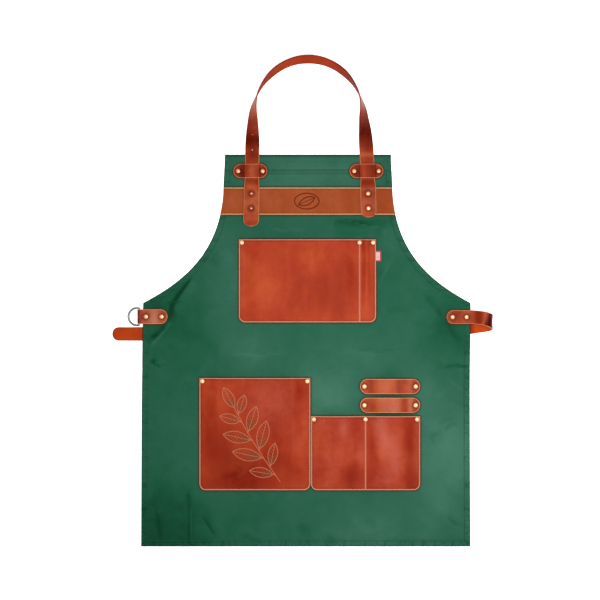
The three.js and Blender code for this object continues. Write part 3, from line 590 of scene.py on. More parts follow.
class Nodes:
    """Short calls for building the nodes of one material or world."""

    def __init__(self, name, kind=bpy.data.materials, shader="Principled BSDF"):
        self.owner = kind.new(name)
        self.owner.use_nodes = True
        self.tree = self.owner.node_tree
        self.shader = self.tree.nodes[shader]

    def add(self, kind, inputs=(), **settings):
        made = self.tree.nodes.new(kind)
        for key, value in settings.items():
            setattr(made, key, value)
        for key, value in dict(inputs).items():
            self.put(made.inputs[key], value)
        return made

    def value(self, kind, output, inputs=(), **settings):
        return Value(self, self.add(kind, inputs, **settings).outputs[output])

    def put(self, socket, value):
        if isinstance(value, Value):
            self.tree.links.new(value.socket, socket)
        else:
            socket.default_value = paint(value) if isinstance(value, str) else value

    def place(self, kind="Object"):
        return self.value("ShaderNodeTexCoord", kind)

    def axis(self, name, kind="Object"):
        return self.value("ShaderNodeSeparateXYZ", name, {"Vector": self.place(kind)})

    def stretched(self, scale, turn=0.0):
        inputs = {"Vector": self.place(), "Scale": scale, "Rotation": (0, 0, turn)}
        return self.value("ShaderNodeMapping", "Vector", inputs)

    def noise(self, scale, detail=3.0, rough=0.5, warp=0.0, vector=None):
        inputs = {"Vector": vector or self.place(), "Scale": scale, "Detail": detail,
                  "Roughness": rough, "Distortion": warp}
        return self.value("ShaderNodeTexNoise", "Fac", inputs)

    def math(self, operation, a, b=0.0, clamp=False):
        return self.value("ShaderNodeMath", "Value", {0: a, 1: b}, operation=operation, use_clamp=clamp)

    def times(self, a, b):
        """A product kept between 0 and 1."""
        return self.math("MULTIPLY", a, b, clamp=True)

    def ripple(self, value, length):
        return self.math("SINE", value * (2 * math.pi / length))

    def span(self, value, low, high, to_low=0.0, to_high=1.0):
        inputs = {"Value": value, "From Min": low, "From Max": high, "To Min": to_low, "To Max": to_high}
        return self.value("ShaderNodeMapRange", "Result", inputs, interpolation_type="SMOOTHSTEP")

    def mix(self, share, a, b):
        return self.value("ShaderNodeMix", 2, {0: share, 6: a, 7: b}, data_type="RGBA")

    def attribute(self, name):
        return self.value("ShaderNodeAttribute", "Fac", attribute_name=name)

    def ramp(self, value, stops):
        made = self.add("ShaderNodeValToRGB", {"Fac": value})
        elements = made.color_ramp.elements
        while len(elements) < len(stops):
            elements.new(0.5)
        for element, (position, colour) in zip(elements, stops):
            element.position = position
            element.color = colour
        return Value(self, made.outputs["Color"])

    def relief(self, *layers):
        """Bumps laid over one another, each (height, distance, strength)."""
        normal = {}
        for height, distance, strength in layers:
            inputs = {"Height": height, "Distance": distance, "Strength": strength, **normal}
            normal = {"Normal": self.value("ShaderNodeBump", "Normal", inputs)}
        return normal["Normal"]

    def look(self, **sockets):
        for key, value in sockets.items():
            self.put(self.shader.inputs[key.replace("_", " ")], value)
        return self.owner


CANVAS_TONES = ((0.0, "064229"), (0.3, "1b5d42"), (0.65, "346c56"), (1.0, "4a7f69"))
CANVAS_SHARE = 0.53
CANVAS_PAINTED_HEM_SHADE = "062818"
PAINTED_CONTACT_SHADE = "45301a"
PAINTED_CONTACT_SHADE_REACH = 5.5
PAINTED_GAP_SHADE = "5c2010"
YARN_PITCH = 0.0011


def canvas_material():
    n = Nodes("green_canvas")
    cloudy = n.noise(26, 4.0, 0.55, 0.5)
    slubs = [n.noise(1.0, 3.0, 0.6, vector=n.stretched(scale)) for scale in ((55, 1300, 1), (1300, 55, 1))]
    yarn = slubs[0] + slubs[1]
    # The cloth's own cloudy tone plus the stored painted light and shade
    tone = n.noise(6.0, warp=0.4) * 0.45 + cloudy * 0.35 + yarn * 0.16 - 0.56 + n.attribute("fade")
    colour = n.ramp(tone, [(at, paint(code, CANVAS_SHARE)) for at, code in CANVAS_TONES])
    edge, near = n.attribute("edge"), n.attribute("near")
    hem_axes = {"X": n.attribute("along") * 0.085, "Y": edge * 0.02}
    hem_place = n.value("ShaderNodeCombineXYZ", "Vector", hem_axes)
    pucker = n.noise(1.0, 3.0, 0.6, vector=hem_place)
    in_hem = n.span(edge, SIDE_HEM + 3, SIDE_HEM - 2)
    hem_line = 1.0 - n.span(abs(edge - SIDE_HEM), 0.0, 1.8)
    # Painted shade in the hem's groove, in its puckers and along the cloth's outer edge
    darker = hem_line * 0.16 + in_hem * n.span(pucker, 0.5, 0.36) * 0.3
    darker = n.math("ADD", darker, n.span(edge, 2.2, 0.6, 0.0, 0.6), clamp=True)
    colour = n.mix(darker, colour, CANVAS_PAINTED_HEM_SHADE)
    # Painted contact shadow on the cloth close beside the leather
    colour = n.mix(n.span(near, PAINTED_CONTACT_SHADE_REACH, 0.0, 0.0, 0.68), colour, PAINTED_CONTACT_SHADE)
    # Painted shade with the leather's reddish reflection where the cloth shows in narrow gaps
    colour = n.mix(n.span(near, 1.7, 1.0, 0.0, 0.7), colour, PAINTED_GAP_SHADE)
    weave = n.ripple(n.axis("X"), YARN_PITCH) * n.ripple(n.axis("Y"), YARN_PITCH)
    relief = n.relief((weave, 0.00009, 0.6), (yarn, 0.0005, 0.35), (pucker * in_hem, 0.004, 0.8),
                      (hem_line * -1.0, 0.0006, 0.7), (cloudy, 0.003, 0.5))
    return n.look(Base_Color=colour, Roughness=0.85, Normal=relief, Sheen_Weight=0.02,
                  Sheen_Roughness=0.5, Specular_IOR_Level=0.06)


LEATHER_TINT = (1.0, 0.55, 0.4, 1)
SEAM_SALMON = "f08a6c"
ENGRAVED = {"half": 0.65, "share": 0.8, "code": "e08460"}
DEBOSSED = {"half": 0.95, "share": 0.75, "code": "5a1c0e"}
DESIGN_BURN = "7a4a2c"
RIB_PITCH = 3.4


def design_lines(n, half):
    """The lines of the sprig or the emblem, from the distances stored on the panel."""
    def line(attribute, width):
        return 1.0 - n.span(abs(n.attribute(attribute)), width, width + 0.5)

    inside = n.span(n.attribute("outline"), -0.9, -1.5)
    ribs = (1.0 - n.span(n.math("PINGPONG", n.attribute("rib"), RIB_PITCH), 0.3, 0.75)) * inside
    lines = n.math("MAXIMUM", line("outline", half), line("stem", half))
    lines = n.math("MAXIMUM", lines, line("vein", 0.45) * inside)
    return n.math("MAXIMUM", lines, ribs * 0.65)


def leather_material(name, tones, cut, rough=0.42, level=0.06, seam=False, design=None, inner=False,
                     blotch=8.0):
    """Waxed pull-up leather: cloudy tone, fine grain, light scuffs, a cut edge and a pressed seam line."""
    n = Nodes(name)
    dark, mid, light, painted_shade, painted_sheen_and_scuffs = (paint(code) for code in tones)
    broad = n.noise(blotch, warp=0.5)
    streak = n.noise(1.0, warp=0.4, vector=n.stretched((30, 8, 20)))
    mottle = n.noise(55, 6.0, 0.6, 0.4)
    fine = n.noise(520, 3.0, 0.6)
    tone = broad * 0.5 + streak * 0.22 + mottle * 0.22 + fine * 0.06
    colour = n.ramp(tone, [(0.37, dark), (0.5, mid), (0.63, light)])
    varied = n.span(mottle, 0.3, 0.7, 0.75, 1.15)
    # Painted shade where the tone attribute is below 0, painted sheen where it is above 0
    for sign, tint in ((-1.0, painted_shade), (1.0, painted_sheen_and_scuffs)):
        colour = n.mix(n.times(n.times(n.attribute("tone"), sign), varied), colour, tint)
    scuff = n.noise(1.0, 4.0, 0.65, 0.3, n.stretched((30, 420, 30), 0.5))
    colour = n.mix(n.span(scuff, 0.64, 0.76) * n.span(mottle, 0.45, 0.62) * 0.25, colour, painted_sheen_and_scuffs)
    cells = {"Vector": n.place(), "Scale": 760.0}
    grain = n.value("ShaderNodeTexVoronoi", "Distance", cells, feature="SMOOTH_F1")
    layers = [(fine, 0.0006, 0.5) if inner else (grain, 0.00022, 0.35), (mottle, 0.0007, 0.3)]
    edge = n.attribute("edge")
    # Painted shade in the pressed dimple round each rivet
    colour = n.mix(n.times(n.attribute("press"), 0.75), colour, painted_shade)
    if seam:
        divider = abs(n.attribute("divider"))
        nearest = n.math("MINIMUM", abs(edge - POCKET_STITCH_INSET), divider)
        layers.append(((1.0 - n.span(nearest, 0.3, 1.3)) * -1.0, 0.0007, 0.9))
        # Painted shade beside the stitch groove
        beside = abs(edge - (POCKET_STITCH_INSET + 1.6))
        colour = n.mix((1.0 - n.span(beside, 0.4, 2.0)) * 0.3, colour, painted_shade)
        colour = n.mix((1.0 - n.span(divider, 1.2, 2.0)) * 0.85, colour, SEAM_SALMON)
    if design:
        lines = design_lines(n, design["half"])
        layers.append((lines * -1.0, 0.0006, 0.9))
        if design is ENGRAVED:
            colour = n.mix(n.attribute("burn") * n.span(fine, 0.35, 0.6, 0.35, 0.9), colour, DESIGN_BURN)
        colour = n.mix(lines * design["share"], colour, design["code"])
    width = (2.2, 1.4) if seam else (1.5, 0.8)
    colour = n.mix(n.span(edge, *width) * n.span(mottle, 0.25, 0.5, 0.75, 1.0), colour, cut)
    roughness = n.span(broad * 0.5 + mottle * 0.5, 0.35, 0.65, rough - 0.07, rough + 0.12)
    return n.look(Base_Color=colour, Roughness=roughness, Normal=n.relief(*layers),
                  Specular_IOR_Level=level, Specular_Tint=LEATHER_TINT)


def thread_material(name, code):
    n = Nodes(name)
    twist = n.noise(900, 2.0)
    colour = n.mix(n.span(twist, 0.35, 0.65), paint(code, 0.75 * LIGHT_SHARE), code)
    return n.look(Base_Color=colour, Roughness=0.7, Normal=n.relief((twist, 0.0003, 0.6)),
                  Specular_IOR_Level=0.2)


def metal_material(name, code, rough, worn):
    n = Nodes(name)
    spots = n.noise(420, 4.0, 0.6)
    colour = n.mix(n.span(spots, 0.35, 0.7), paint(code, 1.0), paint(worn, 1.0))
    roughness = n.span(n.noise(160, 3.0, 0.6), 0.3, 0.7, rough - 0.05, rough + 0.1)
    return n.look(Base_Color=colour, Metallic=1.0, Roughness=roughness, Normal=n.relief((spots, 0.0001, 0.3)))


def label_material():
    n = Nodes("label_cloth")
    rib = n.ripple(n.axis("Y"), 0.0007)
    pale = n.span(n.attribute("edge"), 2.2, 2.8) * n.span(n.noise(300, 2.0), 0.3, 0.6, 0.6, 0.9)
    return n.look(Base_Color=n.mix(pale, "d02a38", "ffe4dc"), Roughness=0.8,
                  Normal=n.relief((rib, 0.0001, 0.5)), Specular_IOR_Level=0.2)


# Leather tones: dark, middle, pale, painted shade, and painted sheen, which also colours rubbed scuffs
POCKET_TONES = ("a22a12", "bc3f22", "d0562e", "861406", "d66650")
LOWER_RIGHT_TONES = ("a22a17", "bc4127", "d05836", "861406", "d86c5a")
CHEST_TONES = ("a42c13", "be4124", "d0562e", "861406", "dc5c38")
BAND_TONES = ("a4431f", "b3532b", "c06038", "8a3418", "c87850")
LOOP_TONES = ("a03018", "bc4c2a", "d06238", "7c1c0a", "d88068")
STRAP_TONES = ("82200c", "a83618", "c85a32", "580100", "d07a50")
TAB_TONES = ("a83c20", "be5434", "cc6a44", "5c101c", "dc9a78")
INNER_TONES = ("a4340e", "b83c14", "cc4a18", "7a1606", "ea5620")
CUT_TAN = "e8ae7c"
CUT_SALMON = "eca280"
CUT_ORANGE = "e0905e"
CUT_DARK = "8a3a1c"

GREEN_CANVAS = canvas_material()
CHEST_LEATHER = leather_material("chest_leather", CHEST_TONES, CUT_SALMON, seam=True)
LOWER_RIGHT_LEATHER = leather_material("lower_right_leather", LOWER_RIGHT_TONES, CUT_SALMON, seam=True)
ENGRAVED_LEATHER = leather_material("engraved_leather", POCKET_TONES, CUT_SALMON, seam=True, design=ENGRAVED)
LOOP_LEATHER = leather_material("loop_leather", LOOP_TONES, CUT_TAN, 0.4, 0.1, blotch=14.0)
BAND_LEATHER = leather_material("band_leather", BAND_TONES, CUT_TAN, 0.55, 0.05, True, DEBOSSED, blotch=6.0)
STRAP_LEATHER = leather_material("strap_leather", STRAP_TONES, CUT_ORANGE, 0.36, 0.08, blotch=16.0)
TAB_LEATHER = leather_material("tab_leather", TAB_TONES, CUT_TAN, 0.42, 0.12, blotch=16.0)
STRAP_INNER = leather_material("strap_inner", INNER_TONES, CUT_DARK, 0.7, inner=True, blotch=14.0)
TAN_THREAD = thread_material("tan_thread", "ffcfa2")
SALMON_THREAD = thread_material("salmon_thread", "fbb090")
GREEN_THREAD = thread_material("green_thread", "2f7358")
BRASS = metal_material("pale_brass", "e8ac8c", 0.55, "d8a074")
COPPER = metal_material("copper", "e6a482", 0.42, "cc8862")
RED_COPPER = metal_material("red_copper", "de8e6a", 0.42, "c07450")
RING_METAL = metal_material("ring_metal", "787a78", 0.34, "606260")
LABEL_CLOTH = label_material()


# Canvas body

CLOTH_STEP = 3.7
CLOTH_COLUMNS = 178
CLOTH_EDGE_ROUND = 1.1
NEAR_EDGE = np.array([0, 0.15, 0.5, 1.1, 2.2])
IN_HEM = (5, 8)
AT_HEM_LINE = np.array([-1.2, -0.4, 0.4, 1.2])
HEM_DIP = 0.22
STEEPEST_SIDE = 2.2
FAR_BELOW, FAR_BESIDE = -8, 30


def side_lean(half, rows):
    """How much longer the cloth's slanting side is than its height."""
    return np.hypot(1, np.clip(np.gradient(half, rows), -STEEPEST_SIDE, STEEPEST_SIDE))


def canvas_body():
    side = np.concatenate([NEAR_EDGE, IN_HEM, SIDE_HEM + AT_HEM_LINE])
    top_line = BODY_HEIGHT - TOP_HEM
    rows = np.concatenate([
        side,
        np.arange(SIDE_HEM + 4, top_line - 3, CLOTH_STEP),
        top_line + AT_HEM_LINE,
        np.arange(top_line + 4, BODY_HEIGHT - 4, CLOTH_STEP),
        BODY_HEIGHT - NEAR_EDGE[::-1],
    ])
    side = np.append(side, SIDE_HEM + 3)
    half = half_width(rows)
    lean = side_lean(half, rows)
    left = body_centre(rows) - half
    right = body_centre(rows) + half
    x_left = left[:, None] + side[None, :] * lean[:, None]
    x_right = right[:, None] - side[None, ::-1] * lean[:, None]
    inner = np.linspace(0, 1, CLOTH_COLUMNS)[1:-1]
    x_inner = lerp(x_left[:, -1:], x_right[:, :1], inner[None, :])
    x = np.concatenate([x_left, x_inner, x_right], 1)
    y = np.repeat(rows[:, None], x.shape[1], 1)
    across = np.minimum(x - left[:, None], right[:, None] - x) / lean[:, None]
    edge = np.minimum(np.minimum(across, y), BODY_HEIGHT - y)
    hem = np.minimum(np.minimum(across, y), (BODY_HEIGHT - y) * SIDE_HEM / TOP_HEM)
    relief = cloth_relief(x, y) - HEM_DIP * bell(hem - SIDE_HEM, 1.3)
    top = cloth_lift(x, y) + CLOTH_FRONT + relief
    low = np.maximum(top - CLOTH - CLOTH * (hem < SIDE_HEM), 0.02)
    bend = arc_drop(edge, CLOTH_EDGE_ROUND)
    # Painted shading of the cloth's slopes, as if lit from the upper right
    tilt = (cloth_relief(x + 1, y + 0.6) - cloth_relief(x - 1, y - 0.6)) / 2
    lengths = np.concatenate([[0], np.cumsum(np.diff(rows) * lean[1:])])
    attributes = {
        "edge": hem,
        # Cloth tone with painted light patches, painted crease shade and painted slope shading
        "fade": CANVAS_TONE + patches(x, y, CANVAS_PATCHES) - painted_crease_shade(x, y) - FOLD_SHADE * tilt,
        "along": np.where(across < y, lengths[:, None], 3000 + x),
        "near": np.clip(beside_leather(x, y), FAR_BELOW, FAR_BESIDE),
    }
    piece = slab("canvas_cloth", x, y, low + 0.6 * bend, top - bend, attributes, 50)
    finish_piece(piece, GREEN_CANVAS, "root", "green_canvas", "canvas_body")
    levels = np.linspace(0, BODY_HEIGHT, 400)
    area = np.trapz(2 * half_width(levels), levels) / 1e6


# Stitches: short threads, each with tapered ends, lying on a surface

def resampled(path, pitch):
    """The middles and the directions of the stitches along a path."""
    lengths = path_lengths(path)
    count = max(1, int(round(lengths[-1] / pitch)))
    at = (np.arange(count) + 0.5) * lengths[-1] / count
    return points_at(path, lengths, at), heading_at(path, lengths, at, 0.4)


def stitches(name, paths, surface, material, slot, length=2.6, width=1.15):
    sides = 6
    rings = np.array([-1, -0.75, -0.3, 0.3, 0.75, 1.0])
    swell = np.array([0.25, 0.8, 1.0, 1.0, 0.8, 0.25])
    turn = np.arange(sides) * 2 * math.pi / sides
    places = [resampled(path, STITCH_PITCH) for path in paths]
    middle = np.concatenate([place for place, _ in places])
    run = np.concatenate([direction for _, direction in places])
    side = np.stack([-run[:, 1], run[:, 0]], -1)
    along = run * length / 2 + side * length * STITCH_SKEW
    start, end = middle - along, middle + along
    z_start = surface(start[:, 0], start[:, 1])
    z_end = surface(end[:, 0], end[:, 1])
    centre = middle[:, None, :] + along[:, None, :] * rings[None, :, None]
    height = lerp(z_start[:, None], z_end[:, None], (rings[None, :] + 1) / 2) + STITCH_PROUD
    height = height - 0.4 * width * rings[None, :] ** 4
    radius = width / 2 * swell
    plan = centre[:, :, None, :] + side[:, None, None, :] * (radius[:, None] * np.cos(turn))[None, :, :, None]
    z = height[:, :, None] + 0.7 * (radius[:, None] * np.sin(turn))[None]
    points = np.concatenate([plan, z[..., None]], -1).reshape(-1, 3)
    ring, k = np.meshgrid(np.arange(len(rings) - 1), np.arange(sides), indexing="ij")
    onward = (k + 1) % sides
    walls = np.stack([ring * sides + onward, ring * sides + k, (ring + 1) * sides + k,
                      (ring + 1) * sides + onward], -1).reshape(-1, 4)
    last = (len(rings) - 1) * sides
    caps = [(0, 1, 2, 3), (0, 3, 4, 5),
            (last + 3, last + 2, last + 1, last), (last + 5, last + 4, last + 3, last)]
    one = np.concatenate([walls, caps])
    faces = (one[None] + (np.arange(len(middle)) * len(rings) * sides)[:, None, None]).reshape(-1, 4)
    piece = mesh_object(name, points, faces, None, 80)
    finish_piece(piece, material, "root", slot)


def canvas_stitches():
    top = lambda x, y: cloth_lift(x, y) + CLOTH_FRONT + cloth_relief(x, y) - THREAD_SINK
    levels = np.linspace(SIDE_HEM, BODY_HEIGHT - 2, 260)
    half = half_width(levels)
    paths = []
    for side in (-1, 1):
        x = body_centre(levels) + side * (half - SIDE_HEM * side_lean(half, levels))
        paths.append(np.stack([x, levels], -1))
    hem_reach = HEM_HALF_WIDTH - SIDE_HEM
    paths.append(np.array([[-hem_reach, BOTTOM_HEM], [hem_reach, BOTTOM_HEM]]))
    for depth in (TOP_HEM - 6, TOP_HEM):
        y = BODY_HEIGHT - depth
        reach = float(half_width(y)) - 2
        middle = float(body_centre(y))
        paths.append(np.array([[middle - reach, y], [middle + reach, y]]))
    stitches("canvas_hem_stitches", paths, top, GREEN_THREAD, "green_canvas", length=2.4, width=0.8)


# Pockets

FASTENERS = [name for name in sorted(frame["nodes"]) if "rivet" in name or "stud" in name]
ROOM_FROM_RIVETS = 10.7
ROOM_FROM_DIVIDER = 5.0


def fasteners_on(low, high):
    found = []
    for x, y in map(plan_centre, FASTENERS):
        if low[0] < x < high[0] and low[1] < y < high[1]:
            found.append((x, y))
    return found


def pressed(x, y, places, radius=5.0, soft=3.2):
    """1 close round each rivet, fading outwards."""
    total = np.zeros(np.shape(x))
    for px, py in places:
        beyond = np.maximum(np.hypot(x - px, y - py) - radius, 0)
        total = np.maximum(total, bell(beyond, soft))
    return total


def rooms(left, right, dividers):
    """The spans between a pocket's seams in which its leather stands open."""
    starts = [left + ROOM_FROM_RIVETS, *(place + ROOM_FROM_DIVIDER for place in dividers)]
    ends = [*(place - ROOM_FROM_DIVIDER for place in dividers), right - ROOM_FROM_RIVETS]
    return list(zip(starts, ends))


# Sprig drawn on the lower left pocket, and the leaf in an oval on the chest band

SPRIG_STEM = ((-52, 132), (-84, 178), (-118, 232), (-146, 284))
SPRIG_TIP = (46, 10)
SPRIG_LEAVES = (
    (0.10, 1, 48, 10),
    (0.20, -1, 46, 9.5),
    (0.33, 1, 60, 12),
    (0.43, -1, 58, 12),
    (0.57, 1, 56, 11.5),
    (0.67, -1, 52, 11),
    (0.81, 1, 42, 9.5),
    (0.90, -1, 38, 9),
)
SPRIG_ANGLE = 46
SPRIG_STALK = 5
EMBLEM_X = 2.1
EMBLEM_HALF_LENGTH = 25
EMBLEM_HALF_HEIGHT = 16
EMBLEM_LEAF = (36, 7.5)
EMBLEM_TURN = 24


def direction(angle):
    return np.array([math.cos(angle), math.sin(angle)])


def leaf_fields(x, y, base, angle, length, half):
    """Signed distance to a pointed leaf, place across its midrib and place along it."""
    run = direction(angle)
    s = (x - base[0]) * run[0] + (y - base[1]) * run[1]
    t = (y - base[1]) * run[0] - (x - base[0]) * run[1]
    radius = (length**2 / 4 + half**2) / (2 * half)
    apart = radius - half
    return np.hypot(s - length / 2, np.abs(t) + apart) - radius, t, s


RIB_SLANT = 0.9


def gathered(x, y, leaves):
    """The nearest leaf's outline, midrib and ribs, and how far its foot is burnt, at each place."""
    outline = np.full(np.shape(x), 99.0)
    vein = np.full(np.shape(x), 99.0)
    rib = np.zeros(np.shape(x))
    burn = np.zeros(np.shape(x))
    for base, angle, length, half in leaves:
        distance, t, s = leaf_fields(x, y, base, angle, length, half)
        nearer = distance < outline
        outline = np.where(nearer, distance, outline)
        vein = np.where(nearer, t, vein)
        rib = np.where(nearer, s - RIB_SLANT * np.abs(t) + 100, rib)
        shade = smooth(1.2 - 1.9 * s / length) * smooth(-distance / 1.5)
        burn = np.maximum(burn, shade)
    return {"outline": outline, "vein": vein, "rib": rib, "burn": burn}


def line_distance(x, y, path):
    """Distance to a path, signed beside it and unsigned past its ends."""
    distance, share = along_path(x, y, path)
    return np.where((share <= 0) | (share >= 1), np.abs(distance), distance)


def sprig(x, y):
    stem = np.array(SPRIG_STEM, float)
    lengths = path_lengths(stem)
    leaves = []
    for share, side, length, half in SPRIG_LEAVES:
        at = share * lengths[-1]
        k = min(int(np.searchsorted(lengths, at, side="right")) - 1, len(stem) - 2)
        along, up = stem[k + 1] - stem[k]
        angle = math.atan2(up, along) + side * math.radians(SPRIG_ANGLE)
        base = points_at(stem, lengths, at) + direction(angle) * SPRIG_STALK
        leaves.append((base, angle, length, half))
    along, up = stem[-1] - stem[-2]
    leaves.append((stem[-1], math.atan2(up, along), *SPRIG_TIP))
    fields = gathered(x, y, leaves)
    distance = line_distance(x, y, SPRIG_STEM)
    for base, angle, _, _ in leaves[:-1]:
        stalk = line_distance(x, y, (base - direction(angle) * SPRIG_STALK, base))
        distance = np.where(np.abs(stalk) < np.abs(distance), stalk, distance)
    fields["stem"] = np.where(fields["outline"] < 0, 99.0, distance)
    return fields


def emblem(x, y, middle_y):
    turn = math.radians(EMBLEM_TURN)
    length, half = EMBLEM_LEAF
    base = np.array([EMBLEM_X, middle_y]) - direction(turn) * length / 2
    fields = gathered(x, y, [(base, turn, length, half)])
    fields["rib"] = np.full(x.shape, RIB_PITCH)
    dx, dy = x - EMBLEM_X, y - middle_y
    near = np.hypot(dx / EMBLEM_HALF_LENGTH, dy / EMBLEM_HALF_HEIGHT)
    slope = np.hypot(dx / EMBLEM_HALF_LENGTH**2, dy / EMBLEM_HALF_HEIGHT**2)
    fields["stem"] = near * (near - 1) / np.maximum(slope, 1e-6)
    return fields


def pocket(node, dividers, material, spots, design, step):
    low, high = plan_box(node)
    left, right, bottom, top = low[0], high[0], low[1], high[1]
    depth = top - bottom
    corner = np.radians([0, 8, 16, 24, 32, 42, 52, 64, 78, 90])
    rows = np.concatenate([
        bottom + POCKET_CORNER * (1 - np.cos(corner)),
        np.linspace(bottom + POCKET_CORNER, top - EDGE_STEPS[-1], int((depth - POCKET_CORNER) / step))[1:],
        top - np.array(EDGE_STEPS[:-1])[::-1],
    ])
    pulled = arc_drop(rows - bottom, POCKET_CORNER)
    share = span(right - left, step) / (right - left)
    x = lerp((left + pulled)[:, None], (right - pulled)[:, None], share[None, :])
    y = np.repeat(rows[:, None], x.shape[1], 1)
    edge = np.minimum(np.minimum(x - left, right - x), np.minimum(y - bottom, top - y))
    cx = np.maximum(left + POCKET_CORNER - x, x - right + POCKET_CORNER)
    cy = bottom + POCKET_CORNER - y
    in_corner = (cx > 0) & (cy > 0)
    edge = np.where(in_corner, POCKET_CORNER - np.hypot(cx, cy), edge)
    edge = np.maximum(edge, 0)
    base = seat(x, y) + pocket_bulge(x, y, low, high, dividers)
    press = pressed(x, y, fasteners_on(low, high))
    divider = np.full(x.shape, 99.0)
    for place in dividers:
        gap = x - place
        divider = np.where(np.abs(gap) < np.abs(divider), gap, divider)
    groove = bell(edge - POCKET_STITCH_INSET, SEAM_REACH) * (top - y > 2.5)
    groove = np.maximum(groove, bell(divider, SEAM_REACH))
    height = base + GAP + PANEL - SEAM_DEPTH * groove - PRESS_DEPTH * press - arc_drop(edge, EDGE_ROUND)
    # tone carries painted shade and sheen; press carries the rivet dimples and their painted shade
    attributes = {"edge": edge, "divider": divider, "press": 0.35 * press, "tone": patches(x, y, spots)}
    if design:
        attributes.update(design(x, y))
    piece = slab(f"{node}_panel", x, y, base + PANEL_UNDER, height, attributes)
    finish_piece(piece, material, "root", "pocket_leather", node)


def pocket_bulge(x, y, low, high, dividers):
    upward = smooth((y - low[1] - POCKET_SEAM) / (OPENING_SHARE * (high[1] - low[1])))
    bulge = np.zeros(np.shape(x))
    for left, right in rooms(low[0], high[0], dividers):
        shoulder = min(POCKET_SHOULDER, (right - left) * SHOULDER_SHARE)
        inside = np.minimum(x - left, right - x)
        bulge = bulge + POCKET_RISE * smooth(inside / shoulder) * upward
    return bulge


def pocket_stitches(node, dividers):
    low, high = plan_box(node)
    left, right, bottom, top = low[0], high[0], low[1], high[1]
    inset = POCKET_STITCH_INSET
    radius = POCKET_CORNER - inset
    turn = np.radians(np.arange(0, 91, 9))
    foot = bottom + POCKET_CORNER
    path = [(left + inset, top - 1.5), (left + inset, foot)]
    path += [(left + POCKET_CORNER - radius * math.cos(t), foot - radius * math.sin(t)) for t in turn]
    path += [(right - POCKET_CORNER + radius * math.sin(t), foot - radius * math.cos(t)) for t in turn]
    path += [(right - inset, foot), (right - inset, top - 1.5)]
    paths = [np.array(path)]
    for place in dividers:
        paths.append(np.array([[place, top - 1.5], [place, bottom + inset]]))
    surface = lambda x, y: seat(x, y) + pocket_bulge(x, y, low, high, dividers) + GAP + PANEL - SEAM_DEPTH
    stitches(f"{node}_stitches", paths, surface, SALMON_THREAD, "pocket_leather")


# Chest band

BAND_STEP = 1.3
# Painted sheen and shade on the chest band, each (x, y, reach across, reach up, strength)
BAND_PATCHES = (
    (-150, 705, 18, 20, 0.15),
    (-60, 700, 22, 16, 0.12),
    (60, 712, 30, 14, 0.12),
    (84, 696, 20, 12, -0.12),
)


def chest_band():
    low, high = plan_box("chest_band")
    rows = low[1] + span(high[1] - low[1], BAND_STEP)
    half = half_width(rows)
    middle = body_centre(rows)
    share = span(2 * CHEST_HALF_WIDTH, BAND_STEP) / (2 * CHEST_HALF_WIDTH)
    x = lerp((middle - half)[:, None], (middle + half)[:, None], share[None, :])
    y = np.repeat(rows[:, None], x.shape[1], 1)
    edge_y = np.minimum(y - low[1], high[1] - y)
    edge = np.maximum(np.minimum(edge_y, np.minimum(x - x[:, :1], x[:, -1:] - x)), 0)
    base = seat(x, y)
    groove = bell(edge_y - POCKET_STITCH_INSET, SEAM_REACH)
    attributes = {"edge": np.minimum(edge_y, 8), "divider": np.full(x.shape, 99.0),
                  "press": np.zeros(x.shape), "tone": patches(x, y, BAND_PATCHES)}
    attributes.update(emblem(x, y, (low[1] + high[1]) / 2))
    top = base + GAP + PANEL - SEAM_DEPTH * groove - arc_drop(edge, EDGE_ROUND)
    piece = slab("chest_band_leather", x, y, base + PANEL_UNDER, top, attributes)
    finish_piece(piece, BAND_LEATHER, "root", "band_leather", "chest_band")
    paths = []
    for y_line in (low[1] + POCKET_STITCH_INSET, high[1] - POCKET_STITCH_INSET):
        reach = float(half_width(y_line)) - 2
        centre = float(body_centre(y_line))
        paths.append(np.array([[centre - reach, y_line], [centre + reach, y_line]]))
    surface = lambda x, y: seat(x, y) + GAP + PANEL - SEAM_DEPTH
    stitches("chest_band_stitches", paths, surface, TAN_THREAD, "band_leather")


# Keepers and tool loops

KEEPER_RAMP = 2.0
KEEPER_PLAY = 0.6
LEFT_KEEPER_SHIFT = -3.2
RIGHT_KEEPER_SHIFT = -1.8
LOOP_RISE = 5.4
LOOP_SHOULDER = 22
LOOP_FOOT = 43.3
# Painted light and shade along each keeper and tool loop, each (place along, reach, strength)
LEFT_KEEPER_BANDS = ((-17, 8, -0.8), (-4, 6, -0.05), (4, 9, 0.3))
RIGHT_KEEPER_BANDS = ((-18, 7, -0.6), (-4, 6, 0.15), (6, 8, -0.2), (13, 5, -0.5), (26, 5, 0.25))
UPPER_LOOP_BANDS = ((-42, 6, -0.5), (-10, 14, 0.2), (18, 6, -0.6), (38, 8, 0.3), (51, 4, -0.4))
LOWER_LOOP_BANDS = ((-43, 8, -0.25), (-14, 12, 0.2), (8, 14, 0.5), (24, 6, -0.2), (40, 6, 0.5), (52, 4, -0.6))


STRIP_STEP = 0.6
STRIP_ROW = 1.8


